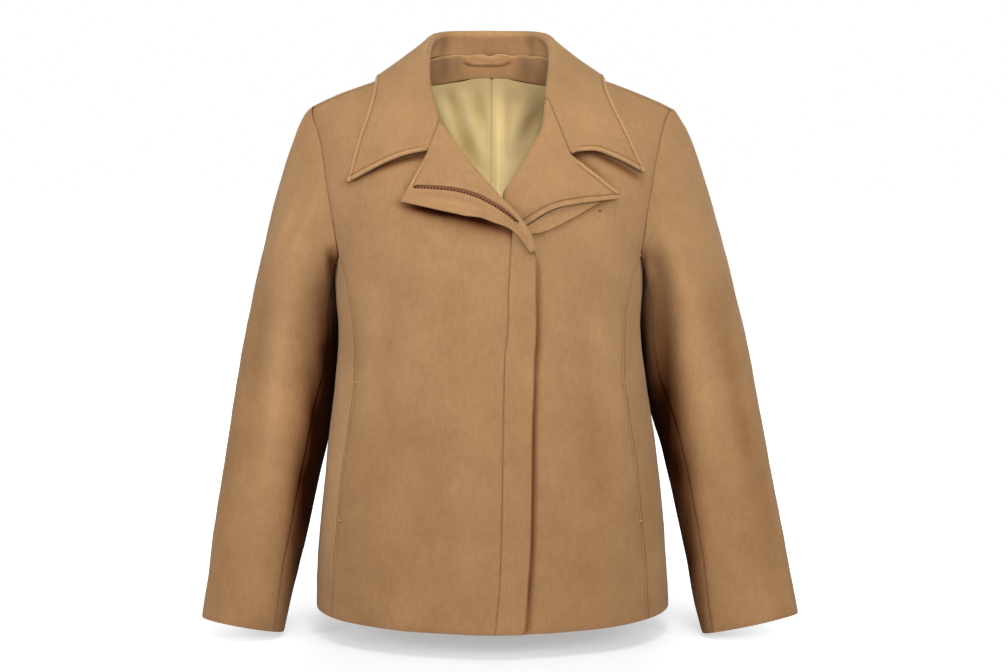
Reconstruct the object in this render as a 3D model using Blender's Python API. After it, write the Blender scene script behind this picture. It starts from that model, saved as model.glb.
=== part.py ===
# A short wool coat, filled out as if worn, with nobody in it. Units are metres.
# +X is the wearer's left, -Y the front and +Z up. The origin is the middle of the neck,
# level with the seam that sews the collar to the nape: the wearer's shoulders hold it there.

import bpy
import bmesh
import numpy as np
from math import radians

# ---- Driving sizes --------------------------------------------------------------------
WOOL = 0.0025           # one layer of melton
TURNED = 0.0035         # collar and lapels: two layers, pressed
SATIN = 0.0012          # lining
SEAM_GAP = 0.0003
SLEEVE_GAP = 0.0009     # the sleeves sit this far off the armholes
RIM_LIFT = 0.0032       # the middle of the collar's edge stands this far off the body
HEM = -0.640            # height of the hem
UNDERARM = -0.240       # height of the bottom of the armholes
SHOULDER_TIP = -0.0587  # height of the shoulder seam's outer end
SHOULDER_HALF = 0.2062  # half of the width across the shoulders
SEAM_FORWARD = 0.11     # how far the shoulder seam sits in front of the ridge, in levels
COLLAR_ROLL = 0.0042    # radius of the collar's fold
FOLD_SKEW = 0.7         # how far a fold may run aslant its line, as a slope
TUCK = 0.0016           # how far a lapel's cloth runs on under its fold
PANEL_END = 0.0028      # and where the front panel starts from there
FACING_EASE = 0.0026    # how far the neck facing lies inside the wool
LINING_EASE = 0.0028    # how far the lining hangs inside the wool
LINING_DROP = 0.0080    # how far below the facing it starts, in levels
ZIP_OPENING = 0.0045    # the slit in the right lapel, where it gapes most
TAPE_ABOVE = 0.0018     # how far the zip's tape runs on behind the slit's upper edge
TAPE_BELOW = 0.0035     # and behind its lower edge
UNDERLAP = 0.020        # where the left front ends under the right one
OVERLAP_LIFT = 0.0031   # how far the right front stands out over the left
OVERLAP_START, OVERLAP_RISE = -0.055, 0.058   # where across it starts to, and over what width
BREAK_LIFT = 0.0060     # how much further it stands out where it crosses the left lapel
BREAK_HEIGHT, BREAK_SPREAD = -0.178, 0.032    # the height of that crossing, and its reach
BREAK_START, BREAK_RISE = -0.020, 0.040       # where across it starts, and over what width
CORNER_LIFT = 0.0048    # the collar's front corners stand this far off the body
STAND_BOW = 0.0010      # how far the collar's stand bows out between seam and fold
LAPEL_BOW = 0.02        # how far a lapel's face bows up, as a share of its width
COLLAR_CLEAR = 0.0010   # the least room between the collar and the shoulders
GUARD_LIFT = 0.0005     # the room between the fly guard and the chest
LAPEL_NOTCH = {-1: 0.42, 1: 0.49}    # how far across each lapel its notch lies, as a share
COLLAR_NOTCH = {-1: 0.26, 1: 0.43}   # and how far across each end of the collar

# ---- Tables ---------------------------------------------------------------------------
# The body, a row for each height: half width, depth to the front and to the back, the
# squareness of the section (2 is an ellipse) and where its middle lies. Above the underarm
# the height is nominal: 0 is the shoulder ridge.
BODY_COLUMNS = ("height", "half", "front", "back", "square", "middle")
BODY = (
    (-0.640, 0.2068, 0.1430, 0.1360, 2.00, 0.0025),
    (-0.600, 0.2052, 0.1415, 0.1330, 2.00, 0.0025),
    (-0.512, 0.1980, 0.1370, 0.1260, 2.05, 0.0022),
    (-0.447, 0.1910, 0.1330, 0.1190, 2.10, 0.0018),
    (-0.373, 0.1806, 0.1280, 0.1110, 2.15, 0.0008),
    (-0.338, 0.1763, 0.1265, 0.1085, 2.15, 0.0000),
    (-0.305, 0.1749, 0.1265, 0.1085, 2.20, -0.0006),
    (-0.262, 0.1773, 0.1270, 0.1110, 2.20, -0.0010),
    (-0.240, 0.1782, 0.1270, 0.1120, 2.25, -0.0010),
    (-0.190, 0.1890, 0.1270, 0.1120, 2.30, 0.0000),
    (-0.115, 0.2000, 0.1270, 0.1120, 2.30, 0.0015),
    (0.000, 0.2062, 0.1270, 0.1120, 2.30, 0.0025),
)
FRONT_ROUNDING = 2.0    # how the chest and the upper back round over to the shoulder ridge
BACK_ROUNDING = 2.5
RIDGE_SLOPE, RIDGE_BEND = 0.47, 0.987    # the shoulder ridge's slope at its tip, and its bend
NECK_RISE, NECK_SPREAD = 0.049, 0.055    # the ridge is carried on up over the neck hole

# Seams on the body: height, distance across from the middle.
ARMHOLE_FRONT = (
    (-0.0640, 0.2050), (-0.0858, 0.1953), (-0.1104, 0.1890), (-0.1400, 0.1835),
    (-0.1687, 0.1785), (-0.1980, 0.1745), (-0.2180, 0.1715), (-0.2280, 0.1705),
)
ARMHOLE_BACK = (
    (-0.0858, 0.1965), (-0.1104, 0.1915), (-0.1400, 0.1875),
    (-0.1687, 0.1845), (-0.1980, 0.1810), (-0.2180, 0.1780), (-0.2300, 0.1755),
)
PRINCESS = (
    (-0.2280, 0.1705), (-0.2500, 0.1625), (-0.2730, 0.1572), (-0.3050, 0.1535),
    (-0.3420, 0.1525), (-0.3765, 0.1541), (-0.4097, 0.1590), (-0.4600, 0.1665),
    (-0.5400, 0.1750), (-0.6216, 0.1810), (-0.6400, 0.1820),
)
FLY_SEAM = (
    (-0.1840, 0.0261), (-0.2035, 0.0243), (-0.2911, 0.0206), (-0.3339, 0.0170),
    (-0.3988, 0.0155), (-0.5094, 0.0137), (-0.5706, 0.0122), (-0.6400, 0.0063),
)
FRONT_EDGE = (
    (-0.2200, 0.0508), (-0.2339, 0.0515), (-0.2944, 0.0517), (-0.3559, 0.0490), (-0.4165, 0.0472),
    (-0.5405, 0.0456), (-0.6018, 0.0420), (-0.6331, 0.0398), (-0.6400, 0.0370),
)

# The right lapel, a row across it for each place up its roll line: the roll line, the slit
# of the zip and the bottom edge, each as across, height; the fold's radius; how far the
# slit and the bottom edge stand off the chest.
LAPEL_RIGHT = (
    ((0.0498, -0.2160), (0.0462, -0.2160), (0.0440, -0.2180), 0.0020, 0.0085, 0.0080),
    ((0.0455, -0.2020), (0.0403, -0.2010), (0.0345, -0.2035), 0.0024, 0.0110, 0.0105),
    ((0.0336, -0.1816), (0.0275, -0.1822), (0.0215, -0.1895), 0.0028, 0.0130, 0.0120),
    ((0.0130, -0.1591), (0.0050, -0.1655), (0.0000, -0.1803), 0.0032, 0.0105, 0.0110),
    ((-0.0090, -0.1345), (-0.0170, -0.1548), (-0.0250, -0.1740), 0.0032, 0.0085, 0.0095),
    ((-0.0300, -0.1080), (-0.0400, -0.1495), (-0.0510, -0.1695), 0.0032, 0.0070, 0.0085),
    ((-0.0440, -0.0905), (-0.0620, -0.1478), (-0.0740, -0.1662), 0.0032, 0.0065, 0.0080),
    ((-0.0540, -0.0765), (-0.0862, -0.1472), (-0.0950, -0.1635), 0.0032, 0.0065, 0.0075),
)
NOTCH_RIGHT = (-0.0650, -0.1085)
COLLAR_END_RIGHT = ((-0.0650, -0.1085), (-0.0840, -0.1118), (-0.1074, -0.1195), (-0.1549, -0.1430))
# The left lapel: roll line, zip edge and bottom of the bound edge.
LAPEL_LEFT = (
    ((0.0190, -0.1835), (0.0330, -0.1845), (0.0375, -0.1895), 0.0016, 0.0020, 0.0022),
    ((0.0150, -0.1700), (0.0440, -0.1775), (0.0480, -0.1828), 0.0016, 0.0038, 0.0042),
    ((0.0160, -0.1545), (0.0565, -0.1700), (0.0590, -0.1758), 0.0020, 0.0066, 0.0070),
    ((0.0283, -0.1336), (0.0740, -0.1632), (0.0755, -0.1692), 0.0032, 0.0078, 0.0080),
    ((0.0449, -0.1065), (0.0950, -0.1595), (0.0960, -0.1656), 0.0032, 0.0082, 0.0084),
    ((0.0590, -0.0800), (0.1180, -0.1572), (0.1185, -0.1628), 0.0032, 0.0078, 0.0080),
    ((0.0615, -0.0525), (0.1412, -0.1552), (0.1400, -0.1605), 0.0032, 0.0068, 0.0070),
)
NOTCH_LEFT = (0.0872, -0.1135)
COLLAR_END_LEFT = (
    (0.0872, -0.1135), (0.0953, -0.1101), (0.1120, -0.1090), (0.1343, -0.1156), (0.1710, -0.1330),
)
# The underlap that shows below the left lapel: upper edge (hidden) and lower edge.
FLY_GUARD = (
    ((0.0370, -0.1920), (0.0380, -0.1975)),
    ((0.0470, -0.1850), (0.0500, -0.1972)),
    ((0.0590, -0.1770), (0.0640, -0.1938)),
    ((0.0760, -0.1690), (0.0860, -0.1832)),
    ((0.0960, -0.1640), (0.1060, -0.1722)),
    ((0.1150, -0.1600), (0.1210, -0.1635)),
)

# The collar, a row for each place round half of the neck, from the nape to the lapel:
# where it is sewn on (across, height), its fold (across, back, height), its outer edge
# (across, height), and the faces of the body that these lie on (-1 back, 0 ridge, 1 front).
COLLAR_BACK = (
    ((0.0000, 0.0000, -1), (0.0000, 0.0660, 0.0290), (0.0000, -0.0380, -1)),
    ((0.0280, 0.0002, -1), (0.0290, 0.0605, 0.0286), (0.0480, -0.0410, -1)),
    ((0.0520, -0.0005, -1), (0.0500, 0.0470, 0.0268), (0.0900, -0.0440, -1)),
    ((0.0700, -0.0040, -1), (0.0620, 0.0260, 0.0220), (0.1170, -0.0400, -1)),
    ((0.0800, -0.0093, 0), (0.0675, 0.0010, 0.0125), (0.1278, -0.0280, 0)),
)
COLLAR_RIGHT = (
    ((0.0815, -0.0230, 1), (0.0685, -0.0250, -0.0030), (0.1295, -0.0430, 1)),
    ((0.0785, -0.0400, 1), (0.0675, -0.0500, -0.0235), (0.1345, -0.0650, 1)),
    ((0.0730, -0.0560, 1), (0.0642, -0.0715, -0.0440), (0.1430, -0.0930, 1)),
    ((0.0665, -0.0690, 1), (0.0595, -0.0855, -0.0620), (0.1495, -0.1190, 1)),
    ((0.0590, -0.0790, 1), (0.0540, -0.0890, -0.0765), (0.1549, -0.1430, 1)),
)
COLLAR_LEFT = (
    ((0.0815, -0.0190, 1), (0.0680, -0.0205, -0.0010), (0.1310, -0.0400, 1)),
    ((0.0790, -0.0300, 1), (0.0668, -0.0400, -0.0145), (0.1385, -0.0600, 1)),
    ((0.0755, -0.0405, 1), (0.0650, -0.0575, -0.0280), (0.1500, -0.0850, 1)),
    ((0.0715, -0.0490, 1), (0.0632, -0.0700, -0.0400), (0.1610, -0.1100, 1)),
    ((0.0670, -0.0570, 1), (0.0615, -0.0680, -0.0525), (0.1710, -0.1330, 1)),
)
# Lower edge of the wool facing inside the back neck: across, height.
FACING_EDGE = (
    (0.000, -0.0215), (0.030, -0.0230), (0.050, -0.0265), (0.065, -0.0285),
    (0.085, -0.0300), (0.100, -0.0260), (0.108, -0.0213),
)

# The sleeves, a row for each height of the section's middle: how far out and forward that
# middle lies, and half the section across and front to back.
SLEEVE_COLUMNS = ("height", "out", "forward", "across", "deep")
SLEEVE_RIGHT = (
    (-0.2800, 0.2262, -0.030, 0.0510, 0.0715),
    (-0.3220, 0.2301, -0.036, 0.0566, 0.0690),
    (-0.3634, 0.2360, -0.036, 0.0589, 0.0645),
    (-0.4468, 0.2497, -0.018, 0.0572, 0.0570),
    (-0.5304, 0.2644, 0.004, 0.0544, 0.0500),
    (-0.6142, 0.2800, 0.020, 0.0500, 0.0430),
    (-0.6570, 0.2880, 0.027, 0.0484, 0.0405),
)
SLEEVE_LEFT = (
    (-0.2800, 0.2310, -0.032, 0.0567, 0.0700),
    (-0.3220, 0.2357, -0.036, 0.0626, 0.0660),
    (-0.3634, 0.2429, -0.036, 0.0645, 0.0610),
    (-0.4468, 0.2615, -0.018, 0.0605, 0.0530),
    (-0.5304, 0.2781, 0.004, 0.0586, 0.0445),
    (-0.6142, 0.2940, 0.020, 0.0580, 0.0360),
    (-0.6560, 0.3030, 0.027, 0.0571, 0.0335),
)
# The sleeve's front seam: how far down it (0 armhole, 1 foot of the cap, 2 cuff), degrees
# round from the outside.
SLEEVE_SEAM = ((0.0, 158), (0.6, 149), (1.0, 141), (1.45, 133), (1.75, 134), (2.0, 144))
BACK_SEAM_TURN = 235.0
CROWN_TURN = 8.0        # the columns beside the shoulder seam's end, in degrees
CAP_FULLNESS = 0.25     # how full the cap leaves the armhole
CAP_ROWS = (0.0, 0.07, 0.17, 0.32, 0.52, 0.75, 1.0)
HANGER_LOOP = ((-0.0330, -0.0005), (-0.0290, -0.0030), (-0.0200, -0.0048), (-0.0060, -0.0050),
               (0.0100, -0.0048), (0.0200, -0.0030), (0.0256, -0.0005))
LOOP_EASE = 0.0024      # how far it hangs inside the facing
LOOP_HALF = 0.0018      # half the width of the hanger loop


# ---- Curves ---------------------------------------------------------------------------
def follow(places, values, at):
    """A smooth curve through the values that never overshoots them."""
    places, values = np.asarray(places, float), np.asarray(values, float)
    if values.ndim == 1:
        values = values[:, None]
        return follow(places, values, at)[..., 0]
    at = np.clip(np.asarray(at, float), places[0], places[-1])
    steps = np.diff(places)[:, None]
    slopes = np.diff(values, axis=0) / steps
    inner = np.zeros_like(values)
    inner[0], inner[-1] = slopes[0], slopes[-1]
    same = slopes[:-1] * slopes[1:] > 0
    total = np.where(same, slopes[:-1] + slopes[1:], 1.0)
    inner[1:-1] = np.where(same, 2 * slopes[:-1] * slopes[1:] / total, 0.0)
    row = np.clip(np.searchsorted(places, at, side="right") - 1, 0, len(places) - 2)
    step = steps[row]
    part = ((at - places[row]) / steps[row, 0])[..., None]
    start, end = values[row], values[row + 1]
    return (
        (1 + 2 * part) * (1 - part) ** 2 * start
        + part * (1 - part) ** 2 * step * inner[row]
        + part**2 * (3 - 2 * part) * end
        + part**2 * (part - 1) * step * inner[row + 1]
    )


def unit(vectors):
    return vectors / np.maximum(np.linalg.norm(vectors, axis=-1, keepdims=True), 1e-12)


def ease(value):
    value = np.clip(value, 0, 1)
    return value * value * (3 - 2 * value)


def signed_power(value, power):
    return np.sign(value) * np.abs(value) ** power


# ---- The body's surface ---------------------------------------------------------------
BODY_TABLE = np.array(BODY)


def body_column(name, height):
    return follow(BODY_TABLE[:, 0], BODY_TABLE[:, BODY_COLUMNS.index(name)], height)


def ridge(across):
    """Height of the shoulder ridge, carried on as a neck inside the neck hole."""
    inside = SHOULDER_HALF - np.abs(across)
    neck = NECK_RISE * np.exp(-((across / NECK_SPREAD) ** 2))
    return SHOULDER_TIP + RIDGE_SLOPE * inside - RIDGE_BEND * inside**2 + neck


def rounding(face):
    return np.where(np.asarray(face) > 0, FRONT_ROUNDING, BACK_ROUNDING)


def nominal(level, face):
    """The row of the body table for a level: -1 hem, 0 underarm, 1 shoulder ridge."""
    rise = np.abs(np.cos(np.pi / 2 * (1 - np.maximum(level, 0)))) ** (2 / rounding(face))
    return np.where(level < 0, UNDERARM + level * (UNDERARM - HEM), UNDERARM * (1 - rise))


def level_at(across, height, face):
    rise = (height - UNDERARM) / (ridge(across) - UNDERARM)
    angle = np.arccos(np.clip(rise, 0, 1) ** (rounding(face) / 2))
    return np.where(height < UNDERARM, (height - UNDERARM) / (UNDERARM - HEM), 1 - angle / (np.pi / 2))


def turn_at(across, level, face):
    """Angle round the body, 0 at the centre front and 180 degrees at the centre back."""
    height = nominal(level, face)
    share = (across - body_column("middle", height)) / body_column("half", height)
    turn = np.arcsin(signed_power(np.clip(share, -1, 1), body_column("square", height) / 2))
    return np.where(np.asarray(face) > 0, turn, np.pi - turn)


def body_point(turn, level):
    turn, level = np.broadcast_arrays(np.asarray(turn, float), np.asarray(level, float))
    over = level > 1
    face = np.where((np.cos(turn) >= 0) ^ over, 1, -1)
    height = nominal(level, face)
    power = 2 / body_column("square", height)
    across = body_column("middle", height) + body_column("half", height) * signed_power(np.sin(turn), power)
    angle = np.pi / 2 * (1 - np.maximum(level, 0))
    reach = np.abs(np.sin(angle)) ** (2 / rounding(face))
    rise = np.abs(np.cos(angle)) ** (2 / rounding(face))
    depth = np.where(face > 0, body_column("front", height), body_column("back", height))
    forward = -face * depth * np.abs(np.cos(turn)) ** power * reach
    above = UNDERARM + (ridge(across) - UNDERARM) * rise
    return np.stack([across, forward, np.where(level < 0, height, above)], -1)


def body_normal(turn, level):
    small = 2e-3
    along = body_point(turn + small, level) - body_point(turn - small, level)
    up = body_point(turn, level + small) - body_point(turn, level - small)
    return unit(np.cross(along, up))


def on_body(turn, level, lift):
    lift = np.broadcast_to(lift, np.broadcast(turn, level).shape)
    return body_point(turn, level) + body_normal(turn, level) * lift[..., None]


def on_face(across, height, lift, face=1):
    across, height = np.asarray(across, float), np.asarray(height, float)
    level = level_at(across, height, face)
    return on_body(turn_at(across, level, face), level, lift)


def clear_of_body(points, gap):
    """Points of the upper body's coverings, pushed out where they come too near it."""

    def outside(at):
        across, forward, height = at[..., 0], at[..., 1], at[..., 2]
        face = np.where(forward < 0, 1, -1)
        rise = np.clip((height - UNDERARM) / (ridge(across) - UNDERARM), 0, 2)
        row = np.clip(UNDERARM * (1 - rise), UNDERARM, 0)
        square = body_column("square", row)
        share = np.clip(np.abs(across - body_column("middle", row)) / body_column("half", row), 0, 0.97)
        depth = np.where(face > 0, body_column("front", row), body_column("back", row))
        reach = np.abs(forward) / (depth * (1 - share**square) ** (1 / square))
        power = rounding(face)
        return (rise**power + reach**power) ** (1 / power) - 1

    points = points.copy()
    small = 1e-4
    for _ in range(3):
        value = outside(points)
        slope = np.stack(
            [(outside(points + step) - value) / small for step in np.eye(3) * small], -1
        )
        size = np.maximum(np.linalg.norm(slope, axis=-1), 1e-6)
        short = np.maximum(gap - value / size, 0)
        points += slope / size[..., None] * short[..., None]
    return points


def overlap_lift(across, height):
    """How far the right front stands out where it laps over the left one."""
    over = ease((across - OVERLAP_START) / OVERLAP_RISE)
    crossing = np.exp(-(((height - BREAK_HEIGHT) / BREAK_SPREAD) ** 2))
    return over * (OVERLAP_LIFT + BREAK_LIFT * crossing * ease((across - BREAK_START) / BREAK_RISE))


# ---- Making cloth ---------------------------------------------------------------------
def grid_normals(grid):
    return unit(np.cross(np.gradient(grid, axis=1), np.gradient(grid, axis=0)))


def drawn_in(grid, gap=SEAM_GAP / 2):
    """The same grid with its border moved in, so that it stays clear of its neighbours."""
    grid = grid.copy()
    for edge, inner in (((slice(None), 0), (slice(None), 1)), ((slice(None), -1), (slice(None), -2)),
                        ((0,), (1,)), ((-1,), (-2,))):
        grid[edge] += unit(grid[inner] - grid[edge]) * gap
    return grid


def make_material(name, colour, roughness, sheen):
    material = bpy.data.materials.new(name)
    material.use_nodes = True
    shader = material.node_tree.nodes["Principled BSDF"]
    shader.inputs["Base Color"].default_value = (*colour, 1)
    shader.inputs["Roughness"].default_value = roughness
    shader.inputs["Sheen Weight"].default_value = sheen
    material.diffuse_color = (*colour, 1)
    return material


def make_wall(name, outer, inward, material):
    """A closed wall of cloth between a grid of points and the same grid moved inward."""
    rows, columns = outer.shape[:2]
    mesh = bmesh.new()
    front = [[mesh.verts.new(point) for point in row] for row in outer]
    back = [[mesh.verts.new(point) for point in row] for row in outer + inward]
    for r in range(rows - 1):
        for c in range(columns - 1):
            mesh.faces.new((front[r][c], front[r][c + 1], front[r + 1][c + 1], front[r + 1][c]))
            mesh.faces.new((back[r][c], back[r + 1][c], back[r + 1][c + 1], back[r][c + 1]))
    rim = [(0, c) for c in range(columns - 1)] + [(r, columns - 1) for r in range(rows - 1)]
    rim += [(rows - 1, c) for c in range(columns - 1, 0, -1)] + [(r, 0) for r in range(rows - 1, 0, -1)]
    for (r, c), (next_r, next_c) in zip(rim, rim[1:] + rim[:1]):
        mesh.faces.new((front[r][c], back[r][c], back[next_r][next_c], front[next_r][next_c]))
    bmesh.ops.recalc_face_normals(mesh, faces=mesh.faces)
    data = bpy.data.meshes.new(name)
    mesh.to_mesh(data)
    mesh.free()
    data.shade_smooth()
    data.set_sharp_from_angle(angle=radians(50))
    data.materials.append(material)
    piece = bpy.data.objects.new(name, data)
    coat.objects.link(piece)
    return piece


def make_panel(name, levels, left, right, columns, material, lift=None, under=0.0, thick=WOOL):
    """A panel of the body: rows of levels, each from the left seam's turn to the right's."""
    share = np.linspace(0, 1, columns)[None, :]
    level = np.broadcast_to(np.asarray(levels)[:, None], (len(levels), columns))
    start, end = np.asarray(left(levels))[:, None], np.asarray(right(levels))[:, None]
    turn = start + (end - start) * share
    point = body_point(turn, level)
    height = -under * np.ones_like(level)
    if lift is not None:
        height = height + lift(point[..., 0], point[..., 2])
    outer = drawn_in(on_body(turn, level, height))
    return make_wall(name, outer, -body_normal(turn, level) * thick, material)


def seam_turns(table, face, side):
    """The turn of a seam at each level, from rows of height and distance across."""
    heights, across = np.array(sorted(table)).T[:2]
    levels = level_at(side * across, heights, face)
    turns = turn_at(side * across, levels, face)
    return lambda at: follow(levels, turns, at)


# ---- The neck seam --------------------------------------------------------------------
SHOULDER_LEVEL = 1 - SEAM_FORWARD
NECK_SIDE = 0.0808      # distance across where the shoulder seam meets the collar
NECK_STEPS = np.concatenate([np.arange(0, 3), np.arange(3, len(COLLAR_BACK + COLLAR_RIGHT) - 0.9, 0.5)])
RIDGE_STEP = len(COLLAR_BACK) - 1
NECK_MIDDLE = np.array((0.0, 0.0, 0.05))


def collar_table(side):
    return COLLAR_BACK + (COLLAR_RIGHT if side < 0 else COLLAR_LEFT)


def neck_seam(side):
    """The collar's seam round half the neck, from the nape on: across, level and face."""
    foot = [row[0] for row in collar_table(side)]
    back = [(side * x, float(level_at(side * x, z, -1))) for x, z, _ in foot[:RIDGE_STEP]]
    back.append((side * foot[RIDGE_STEP][0], 1.0))
    front = [(side * x, float(level_at(side * x, z, 1))) for x, z, face in foot[RIDGE_STEP + 1 :]]
    front = [back[-1], (side * NECK_SIDE, SHOULDER_LEVEL)] + front
    places = [RIDGE_STEP, RIDGE_STEP + 0.5] + list(range(RIDGE_STEP + 1, len(foot)))
    behind = follow(np.arange(RIDGE_STEP + 1), np.array(back), NECK_STEPS[NECK_STEPS <= RIDGE_STEP])
    before = follow(places, np.array(front), NECK_STEPS[NECK_STEPS > RIDGE_STEP])
    faces = np.where(NECK_STEPS <= RIDGE_STEP, -1, 1)
    return np.concatenate([behind, before]), faces


def neck_turns(side, face):
    """The levels of the neck seam on the front or the back panel, and its turns there."""
    rows, faces = neck_seam(side)
    rows = rows[faces == face]
    rows = rows[np.argsort(rows[:, 1])]
    return rows[:, 1], turn_at(rows[:, 0], rows[:, 1], face)


# ---- Folds ----------------------------------------------------------------------------
def fold_directions(line, goal):
    """The way the cloth leaves each place on a fold: towards its goal, nearly square on."""
    along = unit(np.gradient(line, axis=0))
    reach = unit(goal - line)
    part = (reach * along).sum(-1, keepdims=True)
    square = reach - part * along
    size = np.linalg.norm(square, axis=-1, keepdims=True)
    return unit(square + np.clip(part, -FOLD_SKEW * size, FOLD_SKEW * size) * along)


def curl(apex, away, outward, radius):
    """The half turn of cloth round a fold, from below its middle over the apex to above."""
    angle = np.radians((-90, -45, 0, 45, 90))[None, :, None]
    middle = (apex + away * radius[:, None])[:, None]
    swing = outward[:, None] * np.sin(angle) - away[:, None] * np.cos(angle)
    return middle + swing * radius[:, None, None]


def fold_thickness(radius, columns):
    """Thickness along each row: one layer below a fold, two above it."""
    grown = np.linspace(0, 1, 5)[None, :] * (TURNED - WOOL) + WOOL
    grown = np.minimum(grown, 2 * radius[:, None] - 0.0006)
    return np.concatenate([grown[:, :1], grown, np.full((len(radius), columns - 6), TURNED)], 1)


def lapel_frame(side, count):
    """The rows of a lapel from the crossing up: all that places its fold and its cloth."""
    table = LAPEL_RIGHT if side < 0 else LAPEL_LEFT
    notch = np.array(NOTCH_RIGHT if side < 0 else NOTCH_LEFT)
    at = np.linspace(0, len(table) - 1, count)
    places = np.arange(len(table))
    columns = [follow(places, np.array(column), at) for column in zip(*table)]
    roll, middle, edge, radius, middle_lift, edge_lift = columns
    goal = edge.copy()
    goal[-1] = notch
    away = fold_directions(roll, goal)
    base = (overlap_lift(roll[:, 0], roll[:, 1]) if side < 0 else 0) - WOOL / 2
    apex = on_face(roll[:, 0], roll[:, 1], base + radius)
    ahead = on_face(roll[:, 0] + away[:, 0] * 0.002, roll[:, 1] + away[:, 1] * 0.002, base + radius)
    level = level_at(roll[:, 0], roll[:, 1], 1)
    outward = body_normal(turn_at(roll[:, 0], level, 1), level)
    direction = unit(ahead - apex)
    outward = unit(outward - direction * (outward * direction).sum(-1, keepdims=True))
    return {
        "roll": roll, "middle": middle, "edge": edge, "radius": radius, "base": base, "notch": notch,
        "middle_lift": middle_lift, "edge_lift": edge_lift, "away": away,
        "apex": apex, "direction": direction, "outward": outward,
    }


def panel_end(side):
    """Where a front panel ends under its lapel's fold: height, distance across."""
    frame = lapel_frame(side, 2 * len(LAPEL_RIGHT if side < 0 else LAPEL_LEFT) - 1)
    end = frame["roll"] + frame["away"] * (frame["radius"] + PANEL_END)[:, None]
    return [(z, x) for x, z in end]


# ---- The armhole ----------------------------------------------------------------------
ARM_START = float(level_at(ARMHOLE_FRONT[-1][1], ARMHOLE_FRONT[-1][0], 1))
TIP_TURN = radians(5)   # how far short of the side the shoulder seam's outer end lies


def arm_turns(side, face):
    """The turn of the armhole's edge at each level, on the front or on the back."""
    table = ARMHOLE_FRONT if face > 0 else ARMHOLE_BACK
    heights, across = np.array(sorted(table)).T
    levels = level_at(side * across, heights, face)
    turns = side * turn_at(side * across, levels, face)
    turns = np.where(turns < 0, turns + 2 * np.pi, turns)
    half = np.pi / 2
    if face > 0:
        levels = np.concatenate([levels, [SHOULDER_LEVEL, 1.0]])
        turns = np.concatenate([turns, [half - TIP_TURN, half - TIP_TURN / 2]])
    else:
        levels = np.concatenate([[-1, 0], levels, [1.0, 2 - SHOULDER_LEVEL]])
        turns = np.concatenate([[half, half], turns, [half + TIP_TURN / 2, half + TIP_TURN]])
    return lambda at: side * follow(levels, turns, at)


FRONT_ARM = {side: arm_turns(side, 1) for side in (-1, 1)}
BACK_ARM = {side: arm_turns(side, -1) for side in (-1, 1)}
PRINCESS_TURN = {side: seam_turns(PRINCESS, 1, side) for side in (-1, 1)}


def under_arm(side, share):
    """The side front's top edge, from the princess seam (0) to the side seam (1)."""
    level = ARM_START * (1 - share) ** 1.5
    start = PRINCESS_TURN[side](level)
    return start + (side * np.pi / 2 - start) * share, level


def armhole_ring(side):
    """The armhole's edge as points, and where on it the underarm lies, from the tip down the front."""
    levels = np.linspace(1, ARM_START, 60)
    share = np.linspace(0, 1, 20)[1:]
    up = np.linspace(0, 1, 60)[1:]
    below_turn, below_level = under_arm(side, share)
    tip = [side * np.pi / 2]
    turn = np.concatenate([tip, FRONT_ARM[side](levels), below_turn, BACK_ARM[side](up), tip])
    level = np.concatenate([[1.0], levels, below_level, up, [1.0]])
    return turn, level, len(levels) + len(share)


# ---- Panels of the body ---------------------------------------------------------------
LOWER_LEVELS = np.linspace(-1, ARM_START, 9)
FLY_LEVELS = [float(level_at(0.048, z, 1)) for z in (-0.2200, -0.2168)] + [0.085, 0.115]
FLY_LEVELS += [float(level_at(0.028, FLY_SEAM[0][0], 1))]


def front_outer(side):
    """A front's outer boundary: the princess seam, then the armhole."""
    return lambda level: np.where(level < ARM_START, PRINCESS_TURN[side](level), FRONT_ARM[side](level))


def front_inner(side, lower):
    """A front's inner boundary: its front seam or edge, the roll line, then the neck seam."""
    top = max(z for z, _ in lower)
    neck_level, neck_turn = neck_turns(side, 1)
    roll = [(z, x) for z, x in panel_end(side) if z > top + 0.004]
    rows = np.array(sorted(list(lower) + roll))
    level = level_at(rows[:, 1], rows[:, 0], 1)
    turn = turn_at(rows[:, 1], level, 1)
    keep = level < neck_level[0] - 0.02
    levels = np.concatenate([level[keep], neck_level])
    turns = np.concatenate([turn[keep], neck_turn])
    return lambda at: follow(levels, turns, at)


def front_levels(side, low):
    neck = neck_turns(side, 1)[0]
    between = np.linspace(low[-1], neck[0], 4 if side < 0 else 5)[1:-1]
    return np.concatenate([LOWER_LEVELS, low, between, neck])


def make_fronts():
    levels = front_levels(-1, FLY_LEVELS)
    make_panel("front_right", levels, front_outer(-1), front_inner(-1, FLY_SEAM), 9, wool, overlap_lift)
    under_edge = [(HEM, UNDERLAP), (-0.4, UNDERLAP), (-0.1990, UNDERLAP)]
    levels = front_levels(1, [0.08, 0.13, 0.20])
    make_panel("front_left", levels, front_inner(1, under_edge), front_outer(1), 9, wool)

    fold = [(z, x) for z, x in panel_end(-1) if z < FLY_SEAM[0][0] + 0.006]
    seam, edge = seam_turns(FLY_SEAM, 1, 1), seam_turns(list(FRONT_EDGE) + fold, 1, 1)
    levels = np.concatenate([LOWER_LEVELS, FLY_LEVELS])
    make_panel("front_placket_right", levels, seam, edge, 4, wool, overlap_lift)


def make_side_fronts():
    across = np.linspace(0, 1, 6)[None, :]
    share = np.linspace(0, 1, len(LOWER_LEVELS))[:, None]
    for side, name in ((-1, "side_front_right"), (1, "side_front_left")):
        top_turn, top_level = under_arm(side, across)
        level = -1 + share * (1 + top_level)
        start = PRINCESS_TURN[side](level)
        turn = start + (side * np.pi / 2 - start) * across
        outer = drawn_in(body_point(turn, level))
        make_wall(name, outer, -body_normal(turn, level) * WOOL, wool)


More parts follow.
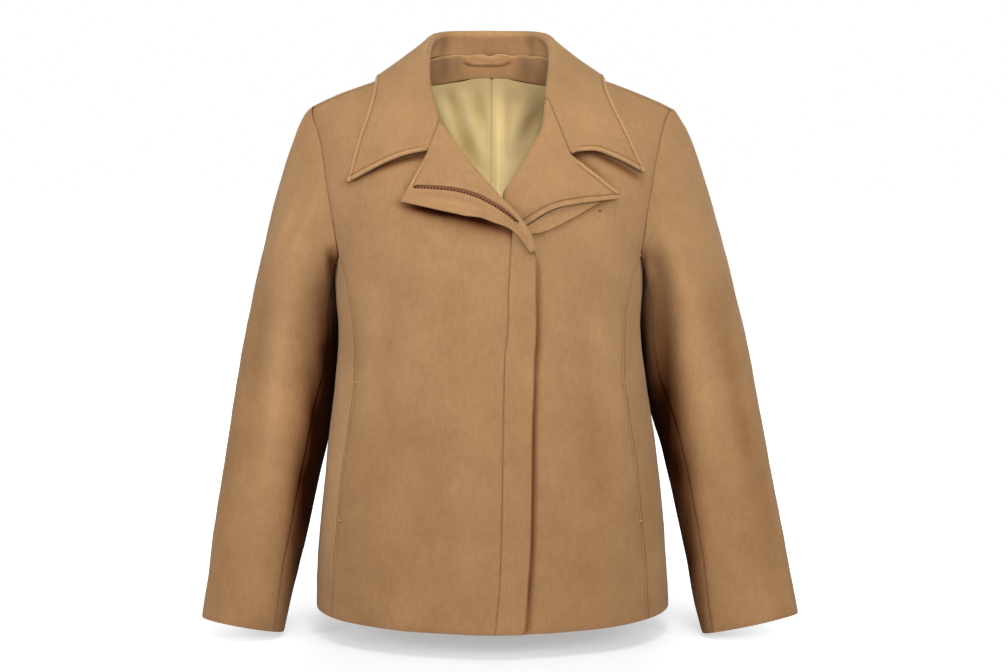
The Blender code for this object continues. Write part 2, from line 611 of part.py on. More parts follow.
def make_backs():
    for side, name in ((-1, "back_right"), (1, "back_left")):
        neck_level, neck_turn = neck_turns(side, -1)
        neck_turn = np.abs(np.where(neck_turn * side < 0, neck_turn + side * 2 * np.pi, neck_turn))
        neck_turn[0] = np.pi
        corner = float(turn_at(side * NECK_SIDE, SHOULDER_LEVEL, -1)) * side % (2 * np.pi)
        levels = np.concatenate([[-1], neck_level, [2 - SHOULDER_LEVEL]])
        turns = np.concatenate([[np.pi], neck_turn, [corner]])
        inner = lambda at, side=side, levels=levels, turns=turns: side * follow(levels, turns, at)
        between = np.linspace(0, neck_level[0], 6)[1:-1]
        rows = np.concatenate([np.linspace(-1, 0, len(LOWER_LEVELS)), between, levels[1:]])
        make_panel(name, rows, BACK_ARM[side], inner, 9, wool)


# ---- Lapels ---------------------------------------------------------------------------
FACE_STEPS = np.array((1 / 3, 2 / 3, 1))
RIGHT_ROWS, LEFT_ROWS = 15, 13


def lapel_face(frame, near, share):
    """The face of a lapel from the top of its fold to an edge, as points: the last row
    follows the collar's seam to the notch, and the rows below ease into it."""
    steps = np.concatenate([share * FACE_STEPS, share + (1 - share) * np.array((0.25, 0.5, 0.75, 1))])
    start = frame["roll"] + frame["away"] * frame["radius"][:, None]
    flat = start[:, None] + (near - start)[:, None] * steps[None, :, None]
    seam = start[-1] + (frame["notch"] - start[-1]) * np.minimum(steps / share, 1)[:, None]
    seam += (near[-1] - frame["notch"]) * np.maximum((steps - share) / (1 - share), 0)[:, None]
    place = np.linspace(0, 1, len(start))
    weight = np.maximum((place - 0.6) / 0.4, 0) ** 2
    flat += weight[:, None, None] * (seam - flat[-1])[None]
    low = (frame["base"] + 2 * frame["radius"])[:, None]
    size = np.linalg.norm(near - start, axis=-1)[:, None]
    lift = low + (frame["middle_lift"][:, None] - low) * ease(steps)[None]
    lift += LAPEL_BOW * size * np.sin(np.pi * steps)
    return on_face(flat[..., 0], flat[..., 1], lift)


def lapel_wall(name, frame, near, share):
    face = lapel_face(frame, near, share)
    fold = curl(frame["apex"], frame["direction"], frame["outward"], frame["radius"])
    tuck = fold[:, :1] + frame["direction"][:, None] * TUCK
    grid = np.concatenate([tuck, fold, face], 1)
    ends = [(-1, 1, gorge_normals(frame, share))]
    make_middle(name, grid, fold_thickness(frame["radius"], grid.shape[1]), wool, ends)


def make_middle(name, grid, thick, material, ends=()):
    """A wall about a grid that faces away from the body, drawn in from its neighbours. Its
    ends name rows whose first columns follow a shared seam: row, first column, directions."""
    side = grid_normals(grid)
    if (side[:, -2:] * grid[:, -2:] * np.array((1, 1, 0))).sum() < 0:
        side = -side
    for row, column, directions in ends:
        side[row, column : column + len(directions)] = directions
    grid = drawn_in(grid, SEAM_GAP * 0.75)
    reach = side * np.asarray(thick)[..., None] / 2
    make_wall(name, grid + reach, -2 * reach, material)


def gorge_normals(frame, share):
    """The way out of the cloth along the seam of collar and lapel, over the fold to the notch."""
    place = lapel_face(frame, frame["middle"], share)[-1, :3]
    level = level_at(place[:, 0], place[:, 2], 1)
    face = body_normal(turn_at(place[:, 0], level, 1), level)
    angle = np.radians((-90, -45, 0, 45, 90))[:, None]
    swing = frame["outward"][-1] * np.sin(angle) - frame["direction"][-1] * np.cos(angle)
    return np.concatenate([swing, face])


def strip(upper, lower, columns, upper_lift, lower_lift):
    """Points of a strip between two lines on the chest."""
    share = np.linspace(0, 1, columns)[None, :]
    flat = upper[:, None] + (lower - upper)[:, None] * share[..., None]
    lift = upper_lift[:, None] + (lower_lift - upper_lift)[:, None] * share
    return on_face(flat[..., 0], flat[..., 1], lift)


def slit(frame):
    """The zip's slit in the right lapel: its upper and lower edge."""
    place = np.linspace(0, 1, len(frame["roll"]))
    gape = 3 * SEAM_GAP + ZIP_OPENING * np.sin(np.pi * np.clip(place / 0.96, 0, 1)) ** 0.6
    down = unit(frame["edge"] - frame["middle"]) * gape[:, None] / 2
    return frame["middle"] - down, frame["middle"] + down


def make_lapels():
    frame = lapel_frame(-1, RIGHT_ROWS)
    upper, lower = slit(frame)
    lapel_wall("lapel_right", frame, upper, LAPEL_NOTCH[-1])
    grid = strip(lower, frame["edge"], 5, frame["middle_lift"], frame["edge_lift"])
    make_middle("lapel_fly_right", grid, np.full(grid.shape[:2], TURNED), wool)
    under = frame["middle_lift"] - TURNED / 2 - 2 * SEAM_GAP - SATIN / 2
    down = unit(frame["edge"] - frame["middle"])
    rows = slice(5, -1)
    upper, lower = upper - down * TAPE_ABOVE, lower + down * TAPE_BELOW
    grid = strip(upper[rows], lower[rows], 3, under[rows], under[rows])
    make_middle("zip_tape_right", grid, np.full(grid.shape[:2], SATIN), tape)

    frame = lapel_frame(1, LEFT_ROWS)
    lapel_wall("lapel_left", frame, frame["middle"], LAPEL_NOTCH[1])
    upper = frame["middle"] + unit(frame["edge"] - frame["middle"]) * SEAM_GAP * 2
    grid = strip(upper, frame["edge"], 3, frame["middle_lift"], frame["edge_lift"])
    make_middle("zip_edge_left", grid, np.full(grid.shape[:2], WOOL), wool)
    places = np.arange(len(FLY_GUARD))
    at = np.linspace(0, places[-1], 2 * len(FLY_GUARD) - 1)
    upper, lower = (follow(places, np.array(column), at) for column in zip(*FLY_GUARD))
    lift = np.full(len(at), WOOL / 2 + GUARD_LIFT)
    grid = strip(upper, lower, 4, lift, lift)
    make_middle("fly_guard_left", grid, np.full(grid.shape[:2], WOOL), wool)


# ---- Collar ---------------------------------------------------------------------------
def collar_half(side):
    """Half of the collar, a row for each neck step from the nape to the lapel."""
    table = collar_table(side)
    frame = lapel_frame(side, RIGHT_ROWS if side < 0 else LEFT_ROWS)
    share = COLLAR_NOTCH[side]
    places = np.arange(len(table))
    seam, faces = neck_seam(side)
    turn = turn_at(seam[:, 0], seam[:, 1], faces)
    turn[0] = np.pi * side
    foot, normal = body_point(turn, seam[:, 1]), body_normal(turn, seam[:, 1])

    apex = np.array([row[1] for row in table]) * (side, 1, 1)
    apex[-1] = frame["apex"][-1]
    apex = follow(places, apex, NECK_STEPS)
    rim = []
    for x, z, face in (row[2] for row in table):
        level = level_at(side * x, z, face) if face else 1.0
        rim.append(on_body(turn_at(side * x, level, face or 1), level, RIM_LIFT))
    rim = follow(places, np.array(rim), NECK_STEPS)
    radius = COLLAR_ROLL + (frame["radius"][-1] - COLLAR_ROLL) * ease((NECK_STEPS - 6) / (places[-1] - 6))

    direction = fold_directions(apex, rim)
    along = unit(np.gradient(apex, axis=0))
    outward = unit(np.cross(along, direction))
    outward *= np.sign((outward * (apex - (0, 0.01, 0)) * (1, 1, 0.3)).sum(-1, keepdims=True))
    blend = ease((NECK_STEPS - 6.5) / (places[-1] - 6.5))[:, None]
    direction = unit(direction * (1 - blend) + frame["direction"][-1] * blend)
    outward = unit(outward * (1 - blend) + frame["outward"][-1] * blend)
    outward = unit(outward - direction * (outward * direction).sum(-1, keepdims=True))
    fold = curl(apex, direction, outward, radius)

    steps = np.concatenate([share * FACE_STEPS, share + (1 - share) * np.array((0.2, 0.45, 0.72, 1))])
    top = fold[:, -1]
    face = top[:, None] + (rim - top)[:, None] * steps[None, :, None]
    gorge = lapel_face(frame, slit(frame)[0] if side < 0 else frame["middle"], LAPEL_NOTCH[side])[-1, :3]
    front = np.array(COLLAR_END_RIGHT if side < 0 else COLLAR_END_LEFT)
    run = np.concatenate([[0], np.cumsum(np.linalg.norm(np.diff(front, axis=0), axis=1))])
    line = follow(run / run[-1], front, (steps[3:] - share) / (1 - share))
    lift = np.linspace(frame["middle_lift"][-1], CORNER_LIFT, 5)[1:]
    front = np.concatenate([gorge, on_face(line[:, 0], line[:, 1], lift)])
    weight = np.maximum((NECK_STEPS - 5) / (places[-1] - 5), 0) ** 2
    face += weight[:, None, None] * (front - face[-1])[None]
    face[:-1] = clear_of_body(face[:-1], TURNED / 2 + COLLAR_CLEAR)

    to_neck = unit(np.cross(normal, unit(np.gradient(foot, axis=0))))
    rise = unit(fold[:, 0] - foot)
    to_neck *= np.sign((to_neck * (NECK_MIDDLE - foot)).sum(-1, keepdims=True))
    cosine = (to_neck * rise).sum(-1, keepdims=True)
    sine = np.sqrt(np.clip(1 - cosine**2, 0, 1))
    start = foot + to_neck * (SEAM_GAP + TURNED / 2 * sine) - normal * (WOOL / 2) * np.maximum(cosine, 0)
    middle = (start + fold[:, 0]) / 2 + outward * STAND_BOW
    seam_out = gorge_normals(frame, LAPEL_NOTCH[side])
    return np.concatenate([start[:, None], middle[:, None], fold, face], 1), radius, seam_out


def make_collar():
    right, right_radius, right_out = collar_half(-1)
    left, left_radius, left_out = collar_half(1)
    grid = np.concatenate([right[::-1], left[1:]])
    radius = np.concatenate([right_radius[::-1], left_radius[1:]])
    thick = fold_thickness(radius, grid.shape[1] - 1)
    ends = [(0, 2, right_out), (-1, 2, left_out)]
    make_middle("collar", grid, np.concatenate([thick[:, :1], thick], 1), wool, ends)


# ---- Sleeves --------------------------------------------------------------------------
def sleeve_section(side, height, turn):
    """The sleeve's surface where the middle of its section lies at a height."""
    table = np.array(sorted(SLEEVE_RIGHT if side < 0 else SLEEVE_LEFT))

    def column(name, at):
        return follow(table[:, 0], table[:, SLEEVE_COLUMNS.index(name)], at)

    def middle(at):
        return np.stack([side * column("out", at), -column("forward", at), at], -1)

    below = np.maximum(height - 0.002, table[0, 0])
    above = np.minimum(height + 0.002, table[-1, 0])
    down = unit(middle(below) - middle(above))
    out = unit(np.array((side, 0, 0)) - down * down[..., :1] * side)
    front = side * np.cross(down, out)
    reach = signed_power(np.cos(turn), 0.95) * column("across", height)
    depth = signed_power(np.sin(turn), 0.95) * column("deep", height)
    return middle(height) + out * reach[..., None] + front * depth[..., None]


def ring_place(side, turn):
    """Where a sleeve's turn meets the armhole: the turn and the level on the body."""
    ring_turn, ring_level, bottom = armhole_ring(side)
    ring = body_point(ring_turn, ring_level)
    run = np.concatenate([[0], np.cumsum(np.linalg.norm(np.diff(ring, axis=0), axis=1))])
    share = (turn / np.pi) % 2
    ahead, behind = share * run[bottom], run[bottom] + (share - 1) * (run[-1] - run[bottom])
    where = np.where(share < 1, ahead, behind)
    return np.interp(where, run, ring_turn), np.interp(where, run, ring_level)


def sleeve_point(side, turn, down):
    """The sleeve's surface: turn 0 outside and 90 degrees in front; down 0 at the armhole,
    1 at the foot of the cap and 2 at the cuff."""
    turn, down = np.broadcast_arrays(turn, down)
    edge = body_point(*ring_place(side, turn))
    slope = np.radians(35 - 25 * np.cos(turn))
    leave = unit(np.stack([side * np.cos(slope), -0.25 * np.sin(turn), -np.sin(slope)], -1))
    edge = edge + leave * SLEEVE_GAP
    table = SLEEVE_RIGHT if side < 0 else SLEEVE_LEFT
    top, end = table[0][0], table[-1][0]
    height = top + np.clip(down - 1, 0, 1) * (end - top)
    lower = sleeve_section(side, height, turn)
    first = sleeve_section(side, np.full_like(height, top), turn)
    arrive = unit(sleeve_section(side, np.full_like(height, top - 0.01), turn) - first)
    size = np.linalg.norm(first - edge, axis=-1, keepdims=True)
    part = np.clip(down, 0, 1)[..., None]
    cap = (
        (1 + 2 * part) * (1 - part) ** 2 * edge
        + part * (1 - part) ** 2 * size * CAP_FULLNESS * leave
        + part**2 * (3 - 2 * part) * first
        + part**2 * (part - 1) * size * arrive
    )
    return np.where(down[..., None] < 1, cap, lower)


def sleeve_inward(side, turn, down):
    """The way into the cloth: as on the body at the armhole, easing to the sleeve's own."""
    small = 0.02
    along = sleeve_point(side, turn + small, down) - sleeve_point(side, turn - small, down)
    low, high = np.maximum(down - 0.01, 0), np.minimum(down + 0.01, 2)
    own = side * unit(np.cross(along, sleeve_point(side, turn, high) - sleeve_point(side, turn, low)))
    body = body_normal(*ring_place(side, turn))
    weight = ease(((own * body).sum(-1) - 0.15) / 0.4) * ease(1 - down / 0.05)
    return -unit(own * (1 - weight[..., None]) + body * weight[..., None])


def sleeve_turns(down):
    """The turns of the top sleeve's columns and of the under sleeve's, a row for each place down."""
    front = np.radians(follow(*np.array(SLEEVE_SEAM).T, down))[:, None]
    back, crown = radians(BACK_SEAM_TURN), radians(CROWN_TURN)
    share = np.linspace(0, 1, 7)[None, :]
    behind = np.repeat(back - 2 * np.pi + (2 * np.pi - back - crown) * share, len(down), 0)
    before = crown + (front - crown) * share
    under = front + (back - front) * share
    return np.concatenate([behind, np.zeros_like(front), before], 1), under


def make_sleeves():
    down = np.concatenate([CAP_ROWS, np.linspace(1, 2, 6)[1:]])
    for side, word in ((-1, "right"), (1, "left")):
        for name, turn in zip(("top_sleeve", "under_sleeve"), sleeve_turns(down)):
            row = np.broadcast_to(down[:, None], turn.shape)
            grid = drawn_in(sleeve_point(side, turn, row), SEAM_GAP)
            make_wall(f"{name}_{word}", grid, sleeve_inward(side, turn, row) * WOOL, wool)


# ---- Inside ---------------------------------------------------------------------------
def facing_level(across):
    """The level of the facing's lower edge inside the back, out to the shoulder ridge."""
    places, heights = np.array(FACING_EDGE).T
    height = follow(places, heights, np.abs(across))
    return np.where(np.abs(across) < places[-1], level_at(across, height, -1), 1.0)


def make_facing():
    seam, _ = neck_seam(1)
    across = np.linspace(-1, 1, 15)
    place = np.abs(across) * RIDGE_STEP * 2
    neck_across = np.sign(across) * np.interp(place, np.arange(len(seam)), seam[:, 0])
    neck_level = np.interp(place, np.arange(len(seam)), seam[:, 1])
    low_across = across * FACING_EDGE[-1][0]
    low_level = facing_level(low_across)
    share = np.linspace(0, 1, 4)[:, None]
    x = neck_across + (low_across - neck_across) * share
    level = np.minimum(neck_level + (low_level - neck_level) * share, 1.0)
    turn = turn_at(x, level, -1)
    normal = body_normal(turn, np.minimum(level, 0.995))
    grid = drawn_in(body_point(turn, level) - normal * (WOOL + FACING_EASE))
    make_wall("neck_facing_back", grid, -normal * WOOL, wool)


def make_linings():
    places, heights = np.array(FACING_EDGE).T
    for side, name in ((-1, "lining_back_right"), (1, "lining_back_left")):
        across = side * places
        edge_level = np.concatenate([level_at(across[:-1], heights[:-1], -1), [0.99]])
        edge_turn = np.abs(turn_at(across, edge_level, -1))
        edge_turn = np.where(edge_turn < np.pi / 2, 2 * np.pi - edge_turn, edge_turn)
        edge_turn = np.where(edge_turn > np.pi, 2 * np.pi - edge_turn, edge_turn)
        edge_turn[0] = np.pi
        edge_level = edge_level - LINING_DROP
        levels = np.concatenate([[-1], edge_level])
        turns = np.concatenate([[np.pi], edge_turn])
        inner = lambda at, side=side, levels=levels, turns=turns: side * follow(levels, turns, at)
        rows = np.linspace(-0.95, 0, 6)
        rows = np.concatenate([rows, np.linspace(0, neck_turns(side, -1)[0][0], 6)[1:-1], edge_level])
        make_panel(name, rows, BACK_ARM[side], inner, 7, satin, under=WOOL + LINING_EASE, thick=SATIN)


def make_hanger_loop():
    line = np.array(HANGER_LOOP)
    grid = np.stack([
        on_face(line[:, 0], line[:, 1] + step, -(2 * WOOL + FACING_EASE + LOOP_EASE), -1)
        for step in (LOOP_HALF, -LOOP_HALF)
    ])
    make_middle("hanger_loop", grid, np.full(grid.shape[:2], SATIN), wool)


def build_collection():
    for old in list(bpy.data.objects):
        bpy.data.objects.remove(old, do_unlink=True)
    collection = bpy.data.collections.new("Coat")
    bpy.context.scene.collection.children.link(collection)
    return collection


coat = build_collection()
wool = make_material("wool", (0.44, 0.26, 0.12), 0.9, 0.4)
satin = make_material("satin", (0.66, 0.50, 0.22), 0.35, 0.0)
tape = make_material("tape", (0.16, 0.06, 0.03), 0.7, 0.0)
make_fronts()
make_side_fronts()
make_backs()
make_lapels()
make_collar()
make_sleeves()
make_facing()
make_linings()
make_hanger_loop()
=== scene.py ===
from math import cos, pi, radians, sin

import bpy
import numpy as np
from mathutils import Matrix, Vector


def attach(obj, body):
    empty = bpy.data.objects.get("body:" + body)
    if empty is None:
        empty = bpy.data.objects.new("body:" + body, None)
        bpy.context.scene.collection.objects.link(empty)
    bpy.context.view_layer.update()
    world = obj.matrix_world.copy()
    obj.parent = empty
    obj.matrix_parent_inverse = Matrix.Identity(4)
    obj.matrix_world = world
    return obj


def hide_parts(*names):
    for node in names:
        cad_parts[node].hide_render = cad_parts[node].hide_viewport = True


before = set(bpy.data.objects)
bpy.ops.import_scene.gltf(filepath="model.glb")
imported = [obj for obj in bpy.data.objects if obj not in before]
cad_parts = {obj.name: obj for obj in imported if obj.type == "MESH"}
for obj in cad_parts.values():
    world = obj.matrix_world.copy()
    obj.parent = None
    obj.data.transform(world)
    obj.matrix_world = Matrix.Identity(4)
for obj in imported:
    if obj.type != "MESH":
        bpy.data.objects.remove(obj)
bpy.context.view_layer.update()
print("frame loaded:", len(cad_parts), "pieces of cloth")

# The same surfaces as the cut pieces, worked out finely: metres, +X the wearer's left, -Y the front.
cloth = {"wool": 0.0025, "turned": 0.0035, "satin": 0.0012, "seamGap": 0.0003, "hairline": 0.00004}


def follow(places, values, at):  # a smooth curve through the values that never overshoots them
    places, values = np.asarray(places, float), np.asarray(values, float)
    if values.ndim == 1:
        return follow(places, values[:, None], at)[..., 0]
    at = np.clip(np.asarray(at, float), places[0], places[-1])
    steps = np.diff(places)[:, None]
    slopes = np.diff(values, axis=0) / steps
    inner = np.zeros_like(values)
    inner[0], inner[-1] = slopes[0], slopes[-1]
    same = slopes[:-1] * slopes[1:] > 0
    total = np.where(same, slopes[:-1] + slopes[1:], 1.0)
    inner[1:-1] = np.where(same, 2 * slopes[:-1] * slopes[1:] / total, 0.0)
    row = np.clip(np.searchsorted(places, at, side="right") - 1, 0, len(places) - 2)
    step = steps[row]
    part = ((at - places[row]) / steps[row, 0])[..., None]
    start, end = values[row], values[row + 1]
    return (
        (1 + 2 * part) * (1 - part) ** 2 * start
        + part * (1 - part) ** 2 * step * inner[row]
        + part**2 * (3 - 2 * part) * end
        + part**2 * (part - 1) * step * inner[row + 1]
    )


def unit(vectors):
    return vectors / np.maximum(np.linalg.norm(vectors, axis=-1, keepdims=True), 1e-12)


def ease(value):
    value = np.clip(value, 0, 1)
    return value * value * (3 - 2 * value)


def bump(value, middle, width):
    return np.exp(-(((value - middle) / width) ** 2))


def signedPower(value, power):
    return np.sign(value) * np.abs(value) ** power


def runOf(points):  # distance along each row of points
    steps = np.linalg.norm(np.diff(points, axis=-2), axis=-1)
    return np.concatenate([np.zeros(steps.shape[:-1] + (1,)), np.cumsum(steps, -1)], -1)


def softNoise(points, size, seed, waves=26):  # smooth unevenness, about -1 to 1, of one feature size
    draw = np.random.default_rng(seed)
    ways = unit(draw.normal(size=(waves, 3))) * (2 * pi / size) * draw.uniform(0.6, 1.5, (waves, 1))
    phase = draw.uniform(0, 2 * pi, waves)
    flat = points.reshape(-1, 3)
    total = sum(np.sin(flat @ way + shift) for way, shift in zip(ways, phase))
    return (total / np.sqrt(waves)).reshape(points.shape[:-1])


# Height, half width, depth to the front and to the back, squareness (2 is an ellipse), middle.
body = {
    "hem": -0.64,
    "underarm": -0.24,
    "shoulderTip": -0.0587,
    "shoulderHalf": 0.2062,
    "seamForward": 0.11,
    "ridgeSlope": 0.47,
    "ridgeBend": 0.987,
    "neckRise": 0.049,
    "neckSpread": 0.055,
    "frontRounding": 2.0,
    "backRounding": 2.5,
    "columns": ("height", "half", "front", "back", "square", "middle"),
    "rows": (
        (-0.64, 0.2068, 0.143, 0.136, 2.0, 0.0025),
        (-0.6, 0.2052, 0.1415, 0.133, 2.0, 0.0025),
        (-0.512, 0.198, 0.137, 0.126, 2.05, 0.0022),
        (-0.447, 0.191, 0.133, 0.119, 2.1, 0.0018),
        (-0.373, 0.1806, 0.128, 0.111, 2.15, 0.0008),
        (-0.338, 0.1763, 0.1265, 0.1085, 2.15, 0.0),
        (-0.305, 0.1749, 0.1265, 0.1085, 2.2, -0.0006),
        (-0.262, 0.1773, 0.127, 0.111, 2.2, -0.001),
        (-0.24, 0.1782, 0.127, 0.112, 2.25, -0.001),
        (-0.19, 0.189, 0.127, 0.112, 2.3, 0.0),
        (-0.115, 0.2, 0.127, 0.112, 2.3, 0.0015),
        (0.0, 0.2062, 0.127, 0.112, 2.3, 0.0025),
    ),
}

# Seams on the body: height, distance across from the middle.
seams = {
    "armholeFront": (
        (-0.064, 0.205), (-0.0858, 0.1953), (-0.1104, 0.189), (-0.14, 0.1835),
        (-0.1687, 0.1785), (-0.198, 0.1745), (-0.218, 0.1715), (-0.228, 0.1705),
    ),
    "armholeBack": (
        (-0.0858, 0.1965), (-0.1104, 0.1915), (-0.14, 0.1875),
        (-0.1687, 0.1845), (-0.198, 0.181), (-0.218, 0.178), (-0.23, 0.1755),
    ),
    "princess": (
        (-0.228, 0.1705), (-0.25, 0.1625), (-0.273, 0.1572), (-0.305, 0.1535),
        (-0.342, 0.1525), (-0.3765, 0.1541), (-0.4097, 0.159), (-0.46, 0.1665),
        (-0.54, 0.175), (-0.6216, 0.181), (-0.64, 0.182),
    ),
    "flySeam": (
        (-0.184, 0.0261), (-0.2035, 0.0243), (-0.2911, 0.0206), (-0.3339, 0.017),
        (-0.3988, 0.0155), (-0.5094, 0.0137), (-0.5706, 0.0122), (-0.64, 0.0063),
    ),
    "frontEdge": (
        (-0.22, 0.0508), (-0.2339, 0.0515), (-0.2944, 0.0517), (-0.3559, 0.049), (-0.4165, 0.0472),
        (-0.5405, 0.0456), (-0.6018, 0.042), (-0.6331, 0.0398), (-0.64, 0.037),
    ),
    "neckSide": 0.0808,
}

# How the right front laps over the left one and stands out at the crossing of the lapels.
fronts = {
    "underlap": 0.02,
    "overlapLift": 0.0031,
    "overlapStart": -0.055,
    "overlapRise": 0.058,
    "breakLift": 0.006,
    "breakHeight": -0.178,
    "breakSpread": 0.032,
    "breakStart": -0.02,
    "breakRise": 0.04,
}

# A row across each lapel for each place up it: roll line, slit or zip edge and bottom edge
# as across, height; the fold's radius; how far the slit and the bottom edge stand out.
lapels = {
    "right": (
        ((0.0498, -0.216), (0.0462, -0.216), (0.044, -0.218), 0.002, 0.0085, 0.008),
        ((0.0455, -0.202), (0.0403, -0.201), (0.0345, -0.2035), 0.0024, 0.011, 0.0105),
        ((0.0336, -0.1816), (0.0275, -0.1822), (0.0215, -0.1895), 0.0028, 0.013, 0.012),
        ((0.013, -0.1591), (0.005, -0.1655), (0.0, -0.1803), 0.0032, 0.0105, 0.011),
        ((-0.009, -0.1345), (-0.017, -0.1548), (-0.025, -0.174), 0.0032, 0.0085, 0.0095),
        ((-0.03, -0.108), (-0.04, -0.1495), (-0.051, -0.1695), 0.0032, 0.007, 0.0085),
        ((-0.044, -0.0905), (-0.062, -0.1478), (-0.074, -0.1662), 0.0032, 0.0065, 0.008),
        ((-0.054, -0.0765), (-0.0862, -0.1472), (-0.095, -0.1635), 0.0032, 0.0065, 0.0075),
    ),
    "left": (
        ((0.019, -0.1835), (0.033, -0.1845), (0.0375, -0.1895), 0.0016, 0.002, 0.0022),
        ((0.015, -0.17), (0.044, -0.1775), (0.048, -0.1828), 0.0016, 0.0038, 0.0042),
        ((0.016, -0.1545), (0.0565, -0.17), (0.059, -0.1758), 0.002, 0.0066, 0.007),
        ((0.0283, -0.1336), (0.074, -0.1632), (0.0755, -0.1692), 0.0032, 0.0078, 0.008),
        ((0.0449, -0.1065), (0.095, -0.1595), (0.096, -0.1656), 0.0032, 0.0082, 0.0084),
        ((0.059, -0.08), (0.118, -0.1572), (0.1185, -0.1628), 0.0032, 0.0078, 0.008),
        ((0.0615, -0.0525), (0.1412, -0.1552), (0.14, -0.1605), 0.0032, 0.0068, 0.007),
    ),
    "notchRight": (-0.065, -0.1085),
    "notchLeft": (0.0872, -0.1135),
    "notchShare": {-1: 0.42, 1: 0.49},
    "foldSkew": 0.7,
    "tuck": 0.0016,
    "panelEnd": 0.0028,
    "bow": 0.02,
    "zipClosed": 0.0009,  # how far the slit's edges close over each other at its ends
    "zipOpening": 0.005,
    "tapeAbove": 0.0018,
    "tapeBelow": 0.0035,
    "guardLift": 0.0005,
    "flyGuard": (
        ((0.037, -0.192), (0.038, -0.1975)),
        ((0.047, -0.185), (0.05, -0.1972)),
        ((0.059, -0.177), (0.064, -0.1938)),
        ((0.076, -0.169), (0.086, -0.1832)),
        ((0.096, -0.164), (0.106, -0.1722)),
        ((0.115, -0.16), (0.121, -0.1635)),
    ),
}

# A row for each place round half of the neck, nape first: seam (across, height), fold
# (across, back, height), outer edge (across, height), and the faces that these lie on.
collar = {
    "back": (
        ((0.0, 0.0, -1), (0.0, 0.066, 0.029), (0.0, -0.038, -1)),
        ((0.028, 0.0002, -1), (0.029, 0.0605, 0.0286), (0.048, -0.041, -1)),
        ((0.052, -0.0005, -1), (0.05, 0.047, 0.0268), (0.09, -0.044, -1)),
        ((0.07, -0.004, -1), (0.062, 0.026, 0.022), (0.117, -0.04, -1)),
        ((0.08, -0.0093, 0), (0.0675, 0.001, 0.0125), (0.1278, -0.028, 0)),
    ),
    "right": (
        ((0.0815, -0.023, 1), (0.0685, -0.025, -0.003), (0.1295, -0.043, 1)),
        ((0.0785, -0.04, 1), (0.0675, -0.05, -0.0235), (0.1345, -0.065, 1)),
        ((0.073, -0.056, 1), (0.0642, -0.0715, -0.044), (0.143, -0.093, 1)),
        ((0.0665, -0.069, 1), (0.0595, -0.0855, -0.062), (0.1495, -0.119, 1)),
        ((0.059, -0.079, 1), (0.054, -0.089, -0.0765), (0.1549, -0.143, 1)),
    ),
    "left": (
        ((0.0815, -0.019, 1), (0.068, -0.0205, -0.001), (0.131, -0.04, 1)),
        ((0.079, -0.03, 1), (0.0668, -0.04, -0.0145), (0.1385, -0.06, 1)),
        ((0.0755, -0.0405, 1), (0.065, -0.0575, -0.028), (0.15, -0.085, 1)),
        ((0.0715, -0.049, 1), (0.0632, -0.07, -0.04), (0.161, -0.11, 1)),
        ((0.067, -0.057, 1), (0.0615, -0.068, -0.0525), (0.171, -0.133, 1)),
    ),
    "endRight": ((-0.065, -0.1085), (-0.084, -0.1118), (-0.1074, -0.1195), (-0.1549, -0.143)),
    "endLeft": ((0.0872, -0.1135), (0.0953, -0.1101), (0.112, -0.109), (0.1343, -0.1156), (0.171, -0.133)),
    "notchShare": {-1: 0.26, 1: 0.43},
    "roll": 0.0042,
    "rimLift": 0.0032,
    "cornerLift": 0.0048,
    "standBow": 0.001,
    "clear": 0.001,
}

# A row for each height of a sleeve's middle: how far out and forward that middle lies, and
# half the section across and front to back. Its seams run at these places down and turns.
sleeves = {
    "columns": ("height", "out", "forward", "across", "deep"),
    "right": (
        (-0.28, 0.2262, -0.03, 0.051, 0.0715),
        (-0.322, 0.2301, -0.036, 0.0566, 0.069),
        (-0.3634, 0.236, -0.036, 0.0589, 0.0645),
        (-0.4468, 0.2497, -0.018, 0.0572, 0.057),
        (-0.5304, 0.2644, 0.004, 0.0544, 0.05),
        (-0.6142, 0.28, 0.02, 0.05, 0.043),
        (-0.657, 0.288, 0.027, 0.0484, 0.0405),
    ),
    "left": (
        (-0.28, 0.231, -0.032, 0.0567, 0.07),
        (-0.322, 0.2357, -0.036, 0.0626, 0.066),
        (-0.3634, 0.2429, -0.036, 0.0645, 0.061),
        (-0.4468, 0.2615, -0.018, 0.0605, 0.053),
        (-0.5304, 0.2781, 0.004, 0.0586, 0.0445),
        (-0.6142, 0.294, 0.02, 0.058, 0.036),
        (-0.656, 0.303, 0.027, 0.0571, 0.0335),
    ),
    "frontSeam": ((0.0, 158), (0.6, 149), (1.0, 141), (1.45, 133), (1.75, 134), (2.0, 144)),
    "backSeam": 235.0,
    "capSlope": 35,  # degrees, how steeply the cap leaves the armhole, and how that changes round it
    "capSwing": 25,
    "capLean": 0.25,
    "capFullness": 0.25,
    "gap": 0.00012,
}

# What lies inside the back of the neck.
inside = {
    "facingEdge": (
        (0.0, -0.0215), (0.03, -0.023), (0.05, -0.0265), (0.065, -0.0285),
        (0.085, -0.03), (0.1, -0.026), (0.108, -0.0213),
    ),
    "facingEase": 0.0026,
    "liningEase": 0.0028,
    "liningDrop": 0.008,
    "loop": ((-0.033, -0.0005), (-0.029, -0.003), (-0.02, -0.0048), (-0.006, -0.005),
             (0.01, -0.0048), (0.02, -0.003), (0.0256, -0.0005)),
    "loopEase": 0.0024,
    "loopHalf": 0.0018,
}

